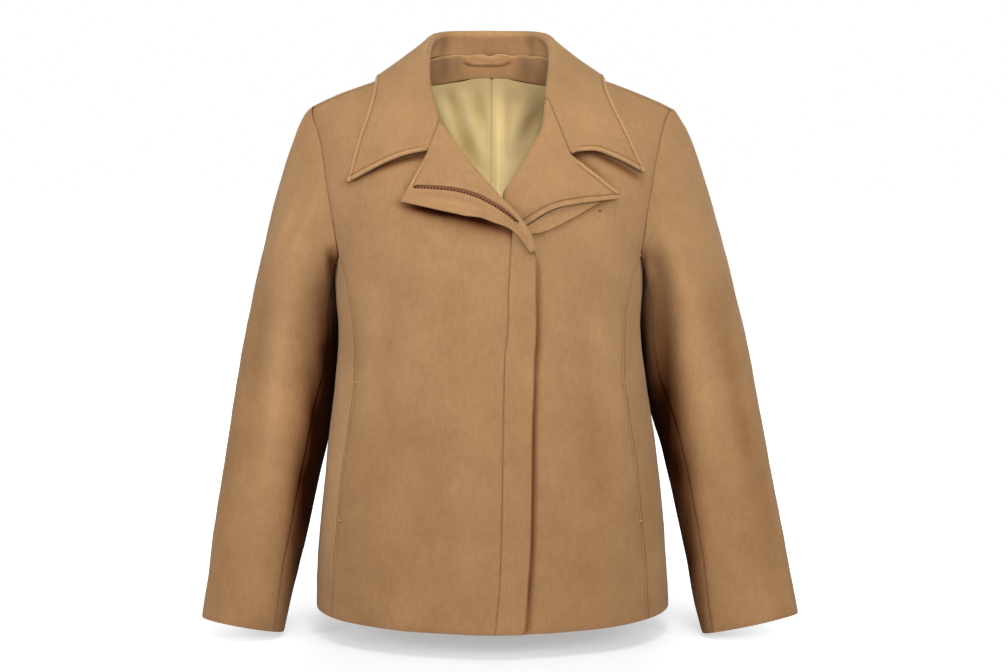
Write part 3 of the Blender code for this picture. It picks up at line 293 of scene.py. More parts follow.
bodyTable = np.array(body["rows"])
shoulderLevel = 1 - body["seamForward"]
ridgeStep = len(collar["back"]) - 1
neckMiddle = np.array((0.0, 0.0, 0.05))
tipTurn = radians(5)  # how far short of the side the shoulder seam's outer end lies
lapelRows = 113  # rows up each lapel; the right one's slit and tape end on whole rows
panelSteps = np.concatenate([np.arange(0, 3), np.arange(3, 9.1, 0.5)])  # places round the neck for the panels
collarSteps = np.linspace(0, 9, 109)  # and, closely, for the collar
bends = np.linspace(-90, 90, 13)  # the places round a fold, in degrees
clothSteps = np.linspace(0, 1, 61)[1:]  # and those across the face beyond it


def bodyColumn(name, height):
    return follow(bodyTable[:, 0], bodyTable[:, body["columns"].index(name)], height)


def ridge(across):  # height of the shoulder ridge, carried on as a neck inside the neck hole
    inside = body["shoulderHalf"] - np.abs(across)
    neck = body["neckRise"] * np.exp(-((across / body["neckSpread"]) ** 2))
    return body["shoulderTip"] + body["ridgeSlope"] * inside - body["ridgeBend"] * inside**2 + neck


def rounding(face):
    return np.where(np.asarray(face) > 0, body["frontRounding"], body["backRounding"])


def nominal(level, face):  # the row of the body table for a level: -1 hem, 0 underarm, 1 shoulder ridge
    rise = np.abs(np.cos(pi / 2 * (1 - np.maximum(level, 0)))) ** (2 / rounding(face))
    return np.where(level < 0, body["underarm"] + level * (body["underarm"] - body["hem"]),
                    body["underarm"] * (1 - rise))


def levelAt(across, height, face):
    rise = (height - body["underarm"]) / (ridge(across) - body["underarm"])
    angle = np.arccos(np.clip(rise, 0, 1) ** (rounding(face) / 2))
    return np.where(height < body["underarm"], (height - body["underarm"]) / (body["underarm"] - body["hem"]),
                    1 - angle / (pi / 2))


def turnAt(across, level, face):  # angle round the body, 0 at the centre front and 180 degrees at the centre back
    height = nominal(level, face)
    share = (across - bodyColumn("middle", height)) / bodyColumn("half", height)
    turn = np.arcsin(signedPower(np.clip(share, -1, 1), bodyColumn("square", height) / 2))
    return np.where(np.asarray(face) > 0, turn, pi - turn)


def bodyPoint(turn, level):
    turn, level = np.broadcast_arrays(np.asarray(turn, float), np.asarray(level, float))
    over = level > 1
    face = np.where((np.cos(turn) >= 0) ^ over, 1, -1)
    height = nominal(level, face)
    power = 2 / bodyColumn("square", height)
    across = bodyColumn("middle", height) + bodyColumn("half", height) * signedPower(np.sin(turn), power)
    angle = pi / 2 * (1 - np.maximum(level, 0))
    reach = np.abs(np.sin(angle)) ** (2 / rounding(face))
    rise = np.abs(np.cos(angle)) ** (2 / rounding(face))
    depth = np.where(face > 0, bodyColumn("front", height), bodyColumn("back", height))
    forward = -face * depth * np.abs(np.cos(turn)) ** power * reach
    above = body["underarm"] + (ridge(across) - body["underarm"]) * rise
    return np.stack([across, forward, np.where(level < 0, height, above)], -1)


def bodyNormal(turn, level):
    small = 2e-3
    along = bodyPoint(turn + small, level) - bodyPoint(turn - small, level)
    up = bodyPoint(turn, level + small) - bodyPoint(turn, level - small)
    return unit(np.cross(along, up))


def onBody(turn, level, lift):
    lift = np.broadcast_to(lift, np.broadcast(turn, level).shape)
    return bodyPoint(turn, level) + bodyNormal(turn, level) * lift[..., None]


def onFace(across, height, lift, face=1):
    across, height = np.asarray(across, float), np.asarray(height, float)
    level = levelAt(across, height, face)
    return onBody(turnAt(across, level, face), level, lift)


def clearOfBody(points, gap):  # points of the upper body's coverings, pushed out where they come too near it
    def outside(at):
        across, forward, height = at[..., 0], at[..., 1], at[..., 2]
        face = np.where(forward < 0, 1, -1)
        rise = np.clip((height - body["underarm"]) / (ridge(across) - body["underarm"]), 0, 2)
        row = np.clip(body["underarm"] * (1 - rise), body["underarm"], 0)
        square = bodyColumn("square", row)
        share = np.clip(np.abs(across - bodyColumn("middle", row)) / bodyColumn("half", row), 0, 0.97)
        depth = np.where(face > 0, bodyColumn("front", row), bodyColumn("back", row))
        reach = np.abs(forward) / (depth * (1 - share**square) ** (1 / square))
        power = rounding(face)
        return (rise**power + reach**power) ** (1 / power) - 1

    points = points.copy()
    small = 1e-4
    for _ in range(3):
        value = outside(points)
        slope = np.stack(
            [(outside(points + step) - value) / small for step in np.eye(3) * small], -1
        )
        size = np.maximum(np.linalg.norm(slope, axis=-1), 1e-6)
        short = np.maximum(gap - value / size, 0)
        points += slope / size[..., None] * short[..., None]
    return points


def turnLine(levels, turns, side=1):  # a seam: its turn at any level
    return lambda at: side * follow(levels, turns, at)


def overlapLift(across, height):  # how far the right front stands out where it laps over the left one
    over = ease((across - fronts["overlapStart"]) / fronts["overlapRise"])
    crossing = np.exp(-(((height - fronts["breakHeight"]) / fronts["breakSpread"]) ** 2))
    stands = ease((across - fronts["breakStart"]) / fronts["breakRise"])
    return over * (fronts["overlapLift"] + fronts["breakLift"] * crossing * stands)


def seamTurns(table, face, side):  # the turn of a seam at each level, from rows of height and distance across
    heights, across = np.array(sorted(table)).T[:2]
    levels = levelAt(side * across, heights, face)
    turns = turnAt(side * across, levels, face)
    return turnLine(levels, turns)


def collarTable(side):
    return collar["back"] + (collar["right"] if side < 0 else collar["left"])


def neckSeam(side, steps):  # the collar's seam round half the neck, from the nape on: across, level and face
    foot = [row[0] for row in collarTable(side)]
    back = [(side * x, float(levelAt(side * x, z, -1))) for x, z, _ in foot[:ridgeStep]]
    back.append((side * foot[ridgeStep][0], 1.0))
    front = [(side * x, float(levelAt(side * x, z, 1))) for x, z, face in foot[ridgeStep + 1 :]]
    front = [back[-1], (side * seams["neckSide"], shoulderLevel)] + front
    places = [ridgeStep, ridgeStep + 0.5] + list(range(ridgeStep + 1, len(foot)))
    behind = follow(np.arange(ridgeStep + 1), np.array(back), steps[steps <= ridgeStep])
    before = follow(places, np.array(front), steps[steps > ridgeStep])
    faces = np.where(steps <= ridgeStep, -1, 1)
    return np.concatenate([behind, before]), faces


def neckTurns(side, face):  # the levels of the neck seam on the front or the back panel, and its turns there
    rows, faces = neckSeam(side, panelSteps)
    rows = rows[faces == face]
    rows = rows[np.argsort(rows[:, 1])]
    return rows[:, 1], turnAt(rows[:, 0], rows[:, 1], face)


def foldDirections(line, goal):  # the way the cloth leaves each place on a fold: towards its goal, nearly square on
    along = unit(np.gradient(line, axis=0))
    reach = unit(goal - line)
    part = (reach * along).sum(-1, keepdims=True)
    square = reach - part * along
    size = np.linalg.norm(square, axis=-1, keepdims=True)
    return unit(square + np.clip(part, -lapels["foldSkew"] * size, lapels["foldSkew"] * size) * along)


def squareTo(ways, direction):
    return unit(ways - direction * (ways * direction).sum(-1, keepdims=True))


# The half turn of cloth round a fold, from below its middle over the apex to above
def curl(apex, away, outward, radius):
    angle = np.radians(bends)[None, :, None]
    middle = (apex + away * radius[:, None])[:, None]
    swing = outward[:, None] * np.sin(angle) - away[:, None] * np.cos(angle)
    return middle + swing * radius[:, None, None]


def foldThickness(radius, faceColumns):  # thickness along each row: one layer below a fold, two above it
    grown = np.linspace(0, 1, len(bends))[None, :] * (cloth["turned"] - cloth["wool"]) + cloth["wool"]
    grown = np.minimum(grown, 2 * radius[:, None] - 0.0006)
    return np.concatenate([grown, np.full((len(radius), faceColumns), cloth["turned"])], 1)


def lapelFrame(side, count):  # the rows of a lapel from the crossing up: all that places its fold and its cloth
    table = lapels["right"] if side < 0 else lapels["left"]
    notch = np.array(lapels["notchRight"] if side < 0 else lapels["notchLeft"])
    at = np.linspace(0, len(table) - 1, count)
    places = np.arange(len(table))
    columns = [follow(places, np.array(column), at) for column in zip(*table)]
    roll, middle, edge, radius, middleLift, edgeLift = columns
    goal = edge.copy()
    goal[-1] = notch
    away = foldDirections(roll, goal)
    base = (overlapLift(roll[:, 0], roll[:, 1]) if side < 0 else 0) - cloth["wool"] / 2
    apex = onFace(roll[:, 0], roll[:, 1], base + radius)
    ahead = onFace(roll[:, 0] + away[:, 0] * 0.002, roll[:, 1] + away[:, 1] * 0.002, base + radius)
    level = levelAt(roll[:, 0], roll[:, 1], 1)
    outward = bodyNormal(turnAt(roll[:, 0], level, 1), level)
    direction = unit(ahead - apex)
    outward = squareTo(outward, direction)
    return {
        "roll": roll, "middle": middle, "edge": edge, "radius": radius, "base": base, "notch": notch,
        "middleLift": middleLift, "edgeLift": edgeLift, "away": away,
        "apex": apex, "direction": direction, "outward": outward,
    }


def panelEnd(side):  # where a front panel ends under its lapel's fold: height, distance across
    place = lapelFrame(side, 2 * len(lapels["right"] if side < 0 else lapels["left"]) - 1)
    end = place["roll"] + place["away"] * (place["radius"] + lapels["panelEnd"])[:, None]
    return [(z, x) for x, z in end]


def armTurns(side, face):  # the turn of the armhole's edge at each level, on the front or on the back
    table = seams["armholeFront"] if face > 0 else seams["armholeBack"]
    heights, across = np.array(sorted(table)).T
    levels = levelAt(side * across, heights, face)
    turns = side * turnAt(side * across, levels, face)
    turns = np.where(turns < 0, turns + 2 * pi, turns)
    half = pi / 2
    if face > 0:
        levels = np.concatenate([levels, [shoulderLevel, 1.0]])
        turns = np.concatenate([turns, [half - tipTurn, half - tipTurn / 2]])
    else:
        levels = np.concatenate([[-1, 0], levels, [1.0, 2 - shoulderLevel]])
        turns = np.concatenate([[half, half], turns, [half + tipTurn / 2, half + tipTurn]])
    return turnLine(levels, turns, side)


def underArm(side, share):  # the side front's top edge, from the princess seam (0) to the side seam (1)
    level = armStart * (1 - share) ** 1.5
    start = princessTurn[side](level)
    return start + (side * pi / 2 - start) * share, level


def armholeRing(side):  # the armhole's edge as points, and where on it the underarm lies, from the tip down the front
    levels = np.linspace(1, armStart, 60)
    share = np.linspace(0, 1, 20)[1:]
    up = np.linspace(0, 1, 60)[1:]
    belowTurn, belowLevel = underArm(side, share)
    tip = [side * pi / 2]
    turn = np.concatenate([tip, frontArm[side](levels), belowTurn, backArm[side](up), tip])
    level = np.concatenate([[1.0], levels, belowLevel, up, [1.0]])
    return turn, level, len(levels) + len(share)


def frontOuter(side):  # a front's outer boundary: the princess seam, then the armhole
    return lambda level: np.where(level < armStart, princessTurn[side](level), frontArm[side](level))


def frontInner(side, lower):  # a front's inner boundary: its front seam or edge, the roll line, then the neck seam
    top = max(z for z, _ in lower)
    neckLevel, neckTurn = neckTurns(side, 1)
    roll = [(z, x) for z, x in panelEnd(side) if z > top + 0.004]
    rows = np.array(sorted(list(lower) + roll))
    level = levelAt(rows[:, 1], rows[:, 0], 1)
    turn = turnAt(rows[:, 1], level, 1)
    keep = level < neckLevel[0] - 0.02
    levels = np.concatenate([level[keep], neckLevel])
    turns = np.concatenate([turn[keep], neckTurn])
    return turnLine(levels, turns)


# The face of a lapel from the top of its fold to an edge, as points: the last row follows the collar's
# seam to the notch, and the rows below ease into it
def lapelFace(place, near, share, steps):
    start = place["roll"] + place["away"] * place["radius"][:, None]
    flat = start[:, None] + (near - start)[:, None] * steps[None, :, None]
    seam = start[-1] + (place["notch"] - start[-1]) * np.minimum(steps / share, 1)[:, None]
    seam += (near[-1] - place["notch"]) * np.maximum((steps - share) / (1 - share), 0)[:, None]
    along = np.linspace(0, 1, len(start))
    weight = np.maximum((along - 0.6) / 0.4, 0) ** 2
    flat += weight[:, None, None] * (seam - flat[-1])[None]
    low = (place["base"] + 2 * place["radius"])[:, None]
    size = np.linalg.norm(near - start, axis=-1)[:, None]
    lift = low + (place["middleLift"][:, None] - low) * ease(steps)[None]
    lift += lapels["bow"] * size * np.sin(pi * steps)
    return onFace(flat[..., 0], flat[..., 1], lift)


# The way out of the cloth along the seam of collar and lapel, over the fold to the notch
def gorgeNormals(place, share, steps):
    spot = lapelFace(place, place["middle"], share, steps)[-1]
    level = levelAt(spot[:, 0], spot[:, 2], 1)
    face = bodyNormal(turnAt(spot[:, 0], level, 1), level)
    angle = np.radians(bends)[:, None]
    swing = place["outward"][-1] * np.sin(angle) - place["direction"][-1] * np.cos(angle)
    return np.concatenate([swing, face])


def strip(upper, lower, columns, upperLift, lowerLift):  # points of a strip between two lines on the chest
    share = np.linspace(0, 1, columns)[None, :]
    flat = upper[:, None] + (lower - upper)[:, None] * share[..., None]
    lift = upperLift[:, None] + (lowerLift - upperLift)[:, None] * share
    return onFace(flat[..., 0], flat[..., 1], lift)


def slit(place):  # the zip's slit in the right lapel: its upper and lower edge
    along = np.linspace(0, 1, len(place["roll"]))
    gape = -lapels["zipClosed"] + lapels["zipOpening"] * ease((along - 0.25) / 0.05) * ease((0.98 - along) / 0.03)
    down = unit(place["edge"] - place["middle"]) * gape[:, None] / 2
    return place["middle"] - down, place["middle"] + down


def collarHalf(side):  # half of the collar, a row for each neck step from the nape to the lapel
    table = collarTable(side)
    place = lapelFrame(side, lapelRows)
    share = collar["notchShare"][side]
    places = np.arange(len(table))
    seam, faces = neckSeam(side, collarSteps)
    turn = turnAt(seam[:, 0], seam[:, 1], faces)
    turn[0] = pi * side
    foot, normal = bodyPoint(turn, seam[:, 1]), bodyNormal(turn, seam[:, 1])

    apex = np.array([row[1] for row in table]) * (side, 1, 1)
    apex[-1] = place["apex"][-1]
    apex = follow(places, apex, collarSteps)
    rim = []
    for x, z, face in (row[2] for row in table):
        level = levelAt(side * x, z, face) if face else 1.0
        rim.append(onBody(turnAt(side * x, level, face or 1), level, collar["rimLift"]))
    rim = follow(places, np.array(rim), collarSteps)
    radius = collar["roll"] + (place["radius"][-1] - collar["roll"]) * ease((collarSteps - 6) / (places[-1] - 6))

    direction = foldDirections(apex, rim)
    along = unit(np.gradient(apex, axis=0))
    outward = unit(np.cross(along, direction))
    outward *= np.sign((outward * (apex - (0, 0.01, 0)) * (1, 1, 0.3)).sum(-1, keepdims=True))
    blend = ease((collarSteps - 6.5) / (places[-1] - 6.5))[:, None]
    direction = unit(direction * (1 - blend) + place["direction"][-1] * blend)
    outward = unit(outward * (1 - blend) + place["outward"][-1] * blend)
    outward = squareTo(outward, direction)
    fold = curl(apex, direction, outward, radius)

    steps = np.concatenate([share * np.linspace(0, 1, 19)[1:], share + (1 - share) * np.linspace(0, 1, 43)[1:]])
    top = fold[:, -1]
    face = top[:, None] + (rim - top)[:, None] * steps[None, :, None]
    edge, lapelShare = slit(place)[0] if side < 0 else place["middle"], lapels["notchShare"][side]
    gorge = lapelFace(place, edge, lapelShare, lapelShare * np.linspace(0, 1, 19)[1:])[-1]
    front = np.array(collar["endRight"] if side < 0 else collar["endLeft"])
    run = runOf(front)
    line = follow(run / run[-1], front, (steps[18:] - share) / (1 - share))
    lift = np.linspace(place["middleLift"][-1], collar["cornerLift"], 43)[1:]
    front = np.concatenate([gorge, onFace(line[:, 0], line[:, 1], lift)])
    weight = np.maximum((collarSteps - 5) / (places[-1] - 5), 0) ** 2
    face += weight[:, None, None] * (front - face[-1])[None]
    face[:-1] = clearOfBody(face[:-1], cloth["turned"] / 2 + collar["clear"])

    toNeck = unit(np.cross(normal, unit(np.gradient(foot, axis=0))))
    rise = unit(fold[:, 0] - foot)
    toNeck *= np.sign((toNeck * (neckMiddle - foot)).sum(-1, keepdims=True))
    cosine = (toNeck * rise).sum(-1, keepdims=True)
    sine = np.sqrt(np.clip(1 - cosine**2, 0, 1))
    start = foot + toNeck * (cloth["seamGap"] + cloth["turned"] / 2 * sine)
    start = start - normal * (cloth["wool"] / 2) * np.maximum(cosine, 0)
    rise = np.linspace(0, 1, 17)[:-1][None, :, None]
    stand = start[:, None] + (fold[:, :1] - start[:, None]) * rise
    stand += outward[:, None] * (4 * collar["standBow"] * rise * (1 - rise))
    seamOut = gorgeNormals(place, lapelShare, lapelShare * np.linspace(0, 1, 19)[1:])
    return np.concatenate([stand, fold, face], 1), radius, seamOut


def sleeveSection(side, height, turn):  # the sleeve's surface where the middle of its section lies at a height
    table = np.array(sorted(sleeves["right"] if side < 0 else sleeves["left"]))

    def column(name, at):
        return follow(table[:, 0], table[:, sleeves["columns"].index(name)], at)

    def middle(at):
        return np.stack([side * column("out", at), -column("forward", at), at], -1)

    below = np.maximum(height - 0.002, table[0, 0])
    above = np.minimum(height + 0.002, table[-1, 0])
    down = unit(middle(below) - middle(above))
    out = unit(np.array((side, 0, 0)) - down * down[..., :1] * side)
    front = side * np.cross(down, out)
    reach = signedPower(np.cos(turn), 0.95) * column("across", height)
    depth = signedPower(np.sin(turn), 0.95) * column("deep", height)
    return middle(height) + out * reach[..., None] + front * depth[..., None]


def ringPlace(side, turn):  # where a sleeve's turn meets the armhole: the turn and the level on the body
    ringTurn, ringLevel, bottom = armholeRing(side)
    ring = bodyPoint(ringTurn, ringLevel)
    run = np.concatenate([[0], np.cumsum(np.linalg.norm(np.diff(ring, axis=0), axis=1))])
    share = (turn / pi) % 2
    ahead, behind = share * run[bottom], run[bottom] + (share - 1) * (run[-1] - run[bottom])
    where = np.where(share < 1, ahead, behind)
    return np.interp(where, run, ringTurn), np.interp(where, run, ringLevel)


# The sleeve's surface: turn 0 outside and 90 degrees in front; down 0 at the armhole, 1 at the foot of
# the cap and 2 at the cuff
def sleevePoint(side, turn, down):
    turn, down = np.broadcast_arrays(turn, down)
    edge = bodyPoint(*ringPlace(side, turn))
    slope = np.radians(sleeves["capSlope"] - sleeves["capSwing"] * np.cos(turn))
    leave = unit(np.stack([side * np.cos(slope), -sleeves["capLean"] * np.sin(turn), -np.sin(slope)], -1))
    edge = edge + leave * sleeves["gap"]
    table = sleeves["right"] if side < 0 else sleeves["left"]
    top, end = table[0][0], table[-1][0]
    height = top + np.clip(down - 1, 0, 1) * (end - top)
    lower = sleeveSection(side, height, turn)
    first = sleeveSection(side, np.full_like(height, top), turn)
    arrive = unit(sleeveSection(side, np.full_like(height, top - 0.01), turn) - first)
    size = np.linalg.norm(first - edge, axis=-1, keepdims=True)
    part = np.clip(down, 0, 1)[..., None]
    cap = (
        (1 + 2 * part) * (1 - part) ** 2 * edge
        + part * (1 - part) ** 2 * size * sleeves["capFullness"] * leave
        + part**2 * (3 - 2 * part) * first
        + part**2 * (part - 1) * size * arrive
    )
    return np.where(down[..., None] < 1, cap, lower)


# The way into the cloth: as on the body at the armhole, easing to the sleeve's own
def sleeveInward(side, turn, down):
    small = 0.02
    along = sleevePoint(side, turn + small, down) - sleevePoint(side, turn - small, down)
    low, high = np.maximum(down - 0.01, 0), np.minimum(down + 0.01, 2)
    own = side * unit(np.cross(along, sleevePoint(side, turn, high) - sleevePoint(side, turn, low)))
    body = bodyNormal(*ringPlace(side, turn))
    weight = ease(((own * body).sum(-1) - 0.15) / 0.4) * ease(1 - down / 0.05)
    return -unit(own * (1 - weight[..., None]) + body * weight[..., None])


def facingLevel(across):  # the level of the facing's lower edge inside the back, out to the shoulder ridge
    places, heights = np.array(inside["facingEdge"]).T
    height = follow(places, heights, np.abs(across))
    return np.where(np.abs(across) < places[-1], levelAt(across, height, -1), 1.0)


# Finishes
woolLook = {
    "colour": (0.294, 0.16, 0.072),
    "dark": (0.23, 0.12, 0.051),
    "light": (0.356, 0.203, 0.095),
    # how much faster green and blue fall than red in the painted shade
    "depth": (1.3, 1.5),
    "patches": 0.1,
    "mottling": 0.26,
    "fibres": 0.9,
    "patchScale": 22,
    "mottlingScale": 130,
    "napScale": 520,
    "fibreScale": 1500,
    "roughness": 0.92,
    "sheen": 0.15,
    "sheenTint": (1.0, 0.8, 0.58, 1),
    "sheenRoughness": 0.55,
    "gloss": 0.15,
    "bump": 0.3,
    "bumpDepth": 0.0012,
}
satinLook = {
    "colour": (0.85, 0.65, 0.315),
    "dark": (0.72, 0.52, 0.23),
    "light": (0.94, 0.77, 0.43),
    # how much faster green and blue fall than red in the painted shade
    "depth": (1.35, 2.1),
    "roughness": 0.36,
    "sheen": 0.1,
    "gloss": 0.5,
    "patchScale": 30,
    "slubScale": 400,
    "twill": 1500.0,
    "slant": 32,
    "bump": 0.12,
    "bumpDepth": 0.0004,
}
tapeLook = {"dark": (0.25, 0.098, 0.046), "light": (0.37, 0.16, 0.08), "roughness": 0.75, "ribs": 1400.0}
threadLook = {"dark": (0.34, 0.19, 0.085), "light": (0.47, 0.28, 0.135), "roughness": 0.6}
teethLook = {"dark": (0.012, 0.005, 0.003), "light": (0.026, 0.011, 0.006), "roughness": 0.75}


def showObject(name, data):
    piece = bpy.data.objects.new(name, data)
    bpy.context.scene.collection.objects.link(piece)
    return piece


def newFinish(name, roughness):
    material = bpy.data.materials.new(name)
    material.use_nodes = True
    tree = material.node_tree
    shader = tree.nodes["Principled BSDF"]
    shader.inputs["Roughness"].default_value = roughness
    return material, tree, shader


def addNode(tree, kind, values=(), **settings):
    node = tree.nodes.new(kind)
    for key, value in settings.items():
        setattr(node, key, value)
    for key, value in dict(values).items():
        if isinstance(value, bpy.types.NodeSocket):
            tree.links.new(value, node.inputs[key])
        else:
            node.inputs[key].default_value = value
    return node


# Noise about 0, at a scale in features a metre
def grain(tree, coordinates, scale, detail=2.0, roughness=0.5, stretch=(1, 1, 1)):
    mapping = addNode(tree, "ShaderNodeMapping", {"Vector": coordinates, "Scale": stretch})
    noise = addNode(tree, "ShaderNodeTexNoise", {"Vector": mapping.outputs[0], "Scale": scale, "Detail": detail,
                                                 "Roughness": roughness})
    return addNode(tree, "ShaderNodeMath", {0: noise.outputs[0], 1: 0.5}, operation="SUBTRACT").outputs[0]


def weigh(tree, parts, start=0.0):  # a sum of values, each times its weight
    total = start
    for value, weight in parts:
        total = addNode(tree, "ShaderNodeMath", {0: value, 1: weight, 2: total}, operation="MULTIPLY_ADD").outputs[0]
    return total


def blendColours(tree, factor, stops):
    ramp = addNode(tree, "ShaderNodeValToRGB", {0: factor})
    elements = ramp.color_ramp.elements
    while len(elements) < len(stops):
        elements.new(0.5)
    for element, (place, colour) in zip(elements, stops):
        element.position = place
        element.color = (*colour, 1)
    return ramp.outputs[0]


# A colour made lighter or darker by the per-point values, which are painted shade and painted light with some random
# tone, and warmer where darker; sheen and gloss scale with them
def paintShading(tree, shader, colour, depth, gloss):
    napAndPaintedShading = addNode(tree, "ShaderNodeAttribute", attribute_name="napAndPaintedShading").outputs["Fac"]
    red = addNode(tree, "ShaderNodeMath", {0: napAndPaintedShading, 1: 1.0}).outputs[0]
    powers = (addNode(tree, "ShaderNodeMath", {0: red, 1: power}, operation="POWER").outputs[0] for power in depth)
    green, blue = (addNode(tree, "ShaderNodeMath", {0: red, 1: power},
                           operation="MINIMUM").outputs[0] for power in powers)
    share = addNode(tree, "ShaderNodeCombineXYZ", {"X": red, "Y": green, "Z": blue}).outputs[0]
    for name, amount in gloss:
        tree.links.new(addNode(tree, "ShaderNodeMath", {0: red, 1: amount}, operation="MULTIPLY").outputs[0],
                       shader.inputs[name])
    shaded = addNode(tree, "ShaderNodeVectorMath", {0: colour, 1: share}, operation="MULTIPLY")
    tree.links.new(shaded.outputs[0], shader.inputs["Base Color"])


def threeTones(tree, tone, look):
    return blendColours(tree, tone, ((0.0, look["dark"]), (0.5, look["colour"]), (1.0, look["light"])))


def raiseGrain(tree, shader, height, strength, depth):
    bumped = addNode(tree, "ShaderNodeBump", {"Height": height, "Strength": strength, "Distance": depth})
    tree.links.new(bumped.outputs[0], shader.inputs["Normal"])


def makeWool(look):  # felted wool: soft mottling, a nap that runs down the cloth, and fine fibres
    material, tree, shader = newFinish("camelWool", look["roughness"])
    at = addNode(tree, "ShaderNodeTexCoord").outputs["Object"]
    patches = grain(tree, at, look["patchScale"], 2)
    mottling = grain(tree, at, look["mottlingScale"], 3, 0.6, (1, 1, 0.6))
    napAndPaintedShading = grain(tree, at, look["napScale"], 3, 0.6, (1, 1, 0.22))
    fibres = grain(tree, at, look["fibreScale"], 4, 0.7, (1, 1, 0.5))
    tone = weigh(tree, ((patches, look["patches"] * 2), (mottling, look["mottling"] * 2),
                        (napAndPaintedShading, look["mottling"] * 2.4),
                        (fibres, look["fibres"])), 0.5)
    gloss = (("Sheen Weight", look["sheen"]), ("Specular IOR Level", look["gloss"]))
    paintShading(tree, shader, threeTones(tree, tone, look), look["depth"], gloss)
    shader.inputs["Sheen Roughness"].default_value = look["sheenRoughness"]
    shader.inputs["Sheen Tint"].default_value = look["sheenTint"]
    height = weigh(tree, ((mottling, 0.5), (napAndPaintedShading, 0.45), (fibres, 0.8)))
    raiseGrain(tree, shader, height, look["bump"], look["bumpDepth"])
    return material


def makeSatin(look):  # lining: a fine slanting twill with a soft gloss
    material, tree, shader = newFinish("goldenLining", look["roughness"])
    at = addNode(tree, "ShaderNodeTexCoord").outputs["Object"]
    patches = grain(tree, at, look["patchScale"], 2)
    slubs = grain(tree, at, look["slubScale"], 3, 0.6, (1, 1, 0.1))
    slanted = addNode(tree, "ShaderNodeMapping", {"Vector": at, "Rotation": (0, radians(look["slant"]), 0)})
    twill = addNode(tree, "ShaderNodeTexWave", {"Vector": slanted.outputs[0], "Scale": look["twill"] / 20,
                                                "Distortion": 0.6,
                                                "Detail": 1.0, "Detail Scale": 3.0}).outputs["Fac"]
    tone = weigh(tree, ((patches, 0.5), (slubs, 0.35), (twill, 0.04)), 0.48)
    gloss = (("Sheen Weight", look["sheen"]), ("Specular IOR Level", look["gloss"]))
    paintShading(tree, shader, threeTones(tree, tone, look), look["depth"], gloss)
    height = weigh(tree, ((twill, 0.5), (slubs, 0.6)))
    raiseGrain(tree, shader, height, look["bump"], look["bumpDepth"])
    return material


def makeRibbed(name, look, ribs=900.0, stretch=(1, 1, 1)):  # tape, thread and teeth: two tones over fine ribs
    material, tree, shader = newFinish(name, look["roughness"])
    at = addNode(tree, "ShaderNodeTexCoord").outputs["Object"]
    fine = grain(tree, at, ribs, 3, 0.6, stretch)
    tone = weigh(tree, ((fine, 1.6),), 0.5)
    tree.links.new(blendColours(tree, tone, ((0.0, look["dark"]), (1.0, look["light"]))), shader.inputs["Base Color"])
    shader.inputs["Specular IOR Level"].default_value = 0.12
    raiseGrain(tree, shader, fine, 0.25, 0.0003)
    return material


wool, satin = makeWool(woolLook), makeSatin(satinLook)
tape = makeRibbed("zipTapeWeave", tapeLook, tapeLook["ribs"], (1, 1, 3))
thread = makeRibbed("tonalThread", threadLook, 2400.0)
teeth = makeRibbed("darkTeeth", teethLook, 1200.0)


# How a border of cloth is finished: how far it rolls down and over what reach, a row of
# stitching sunk at a distance from it, and the fullness between the two. Its line is painted
# shade along the border; below zero it is a painted highlight.
plainFinish = {"roll": 0, "reach": 0.002, "groove": 0, "place": 0.004, "full": 0, "round": 0.0006, "line": 0}
ownFinishes = {
    "seam": {"roll": 0.0007, "line": 0.4},
    "armhole": {"reach": 0.0016, "round": 0.00012, "line": 0.25},
    "stitchedSeam": {"roll": 0.0007, "reach": 0.0018, "groove": 0.0005, "full": 0.0003, "line": 0.8},
    "edge": {"roll": 0.0003, "reach": 0.0024, "round": 0.0012, "line": -0.04},
    "stitchedEdge": {"roll": 0.0005, "reach": 0.0016, "groove": 0.0007, "place": 0.005, "full": 0.0006,
                     "round": 0.0012, "line": -0.06},
    "lap": {"roll": 0.0004, "reach": 0.0024, "round": 0.0012, "line": 0.6},
    "faint": {"roll": 0.0005, "line": 0.2},
    "hem": {"roll": 0.0005, "reach": 0.003, "round": 0.0012, "line": -0.04},
    "lip": {"roll": 0.0002, "reach": 0.0016, "line": -0.08},
    "plain": {},
}
finishes = {name: {**plainFinish, **own} for name, own in ownFinishes.items()}
pucker = {"spacing": 0.0105, "wander": 1.7, "wanderRate": 61, "reach": 0.005, "stitched": 0.0001, "plain": 0.00005}
# Painted shade along borders and in stitching grooves, painted highlight on the fullness: reaches, strengths and
# widths
borderShading = {"darkReach": 0.0011, "lightReach": 0.0022, "full": 0.28, "groove": 0.42, "fullWidth": 0.32,
             "grooveWidth": 0.0009}
# What every cloth has unless its own values say otherwise, and how much painted shade its folds and its lower part
# get.
clothDefaults = {"step": 0.004, "sway": 0.00045, "ripple": 0.00014, "creaseShading": 55, "hemShade": 0.1, "faces": "out"}
swaySize, rippleSize, patchSize, patchTone = 0.085, 0.03, 0.05, 0.018
creaseMargin, deepestFinish = 0.014, -0.0011
hemShadeTop, hemShadeDepth = -0.22, 0.28  # where the painted shade towards the hem starts, and over what height
# limits of the painted shading and random tone at each point
shadingLimits = (-0.94, 1.3)
nearBorder = np.array((0, 0.5, 1.1, 1.8, 2.6, 3.3, 4.0, 4.7, 5.6, 6.6, 8.2)) / 1000
coat, stitching = [], []


def between(grid, index):  # the columns of a grid at fractional places, on a smooth curve
    last = grid.shape[1] - 1
    low = np.clip(np.floor(index).astype(int), 0, last - 1)
    part = (index - low)[..., None]
    row = np.arange(len(grid))[:, None]
    a, b, c, d = (grid[row, np.clip(low + step, 0, last)] for step in (-1, 0, 1, 2))
    return b + 0.5 * part * (c - a + part * (2 * a - 5 * b + 4 * c - d + part * (3 * (b - c) + d - a)))


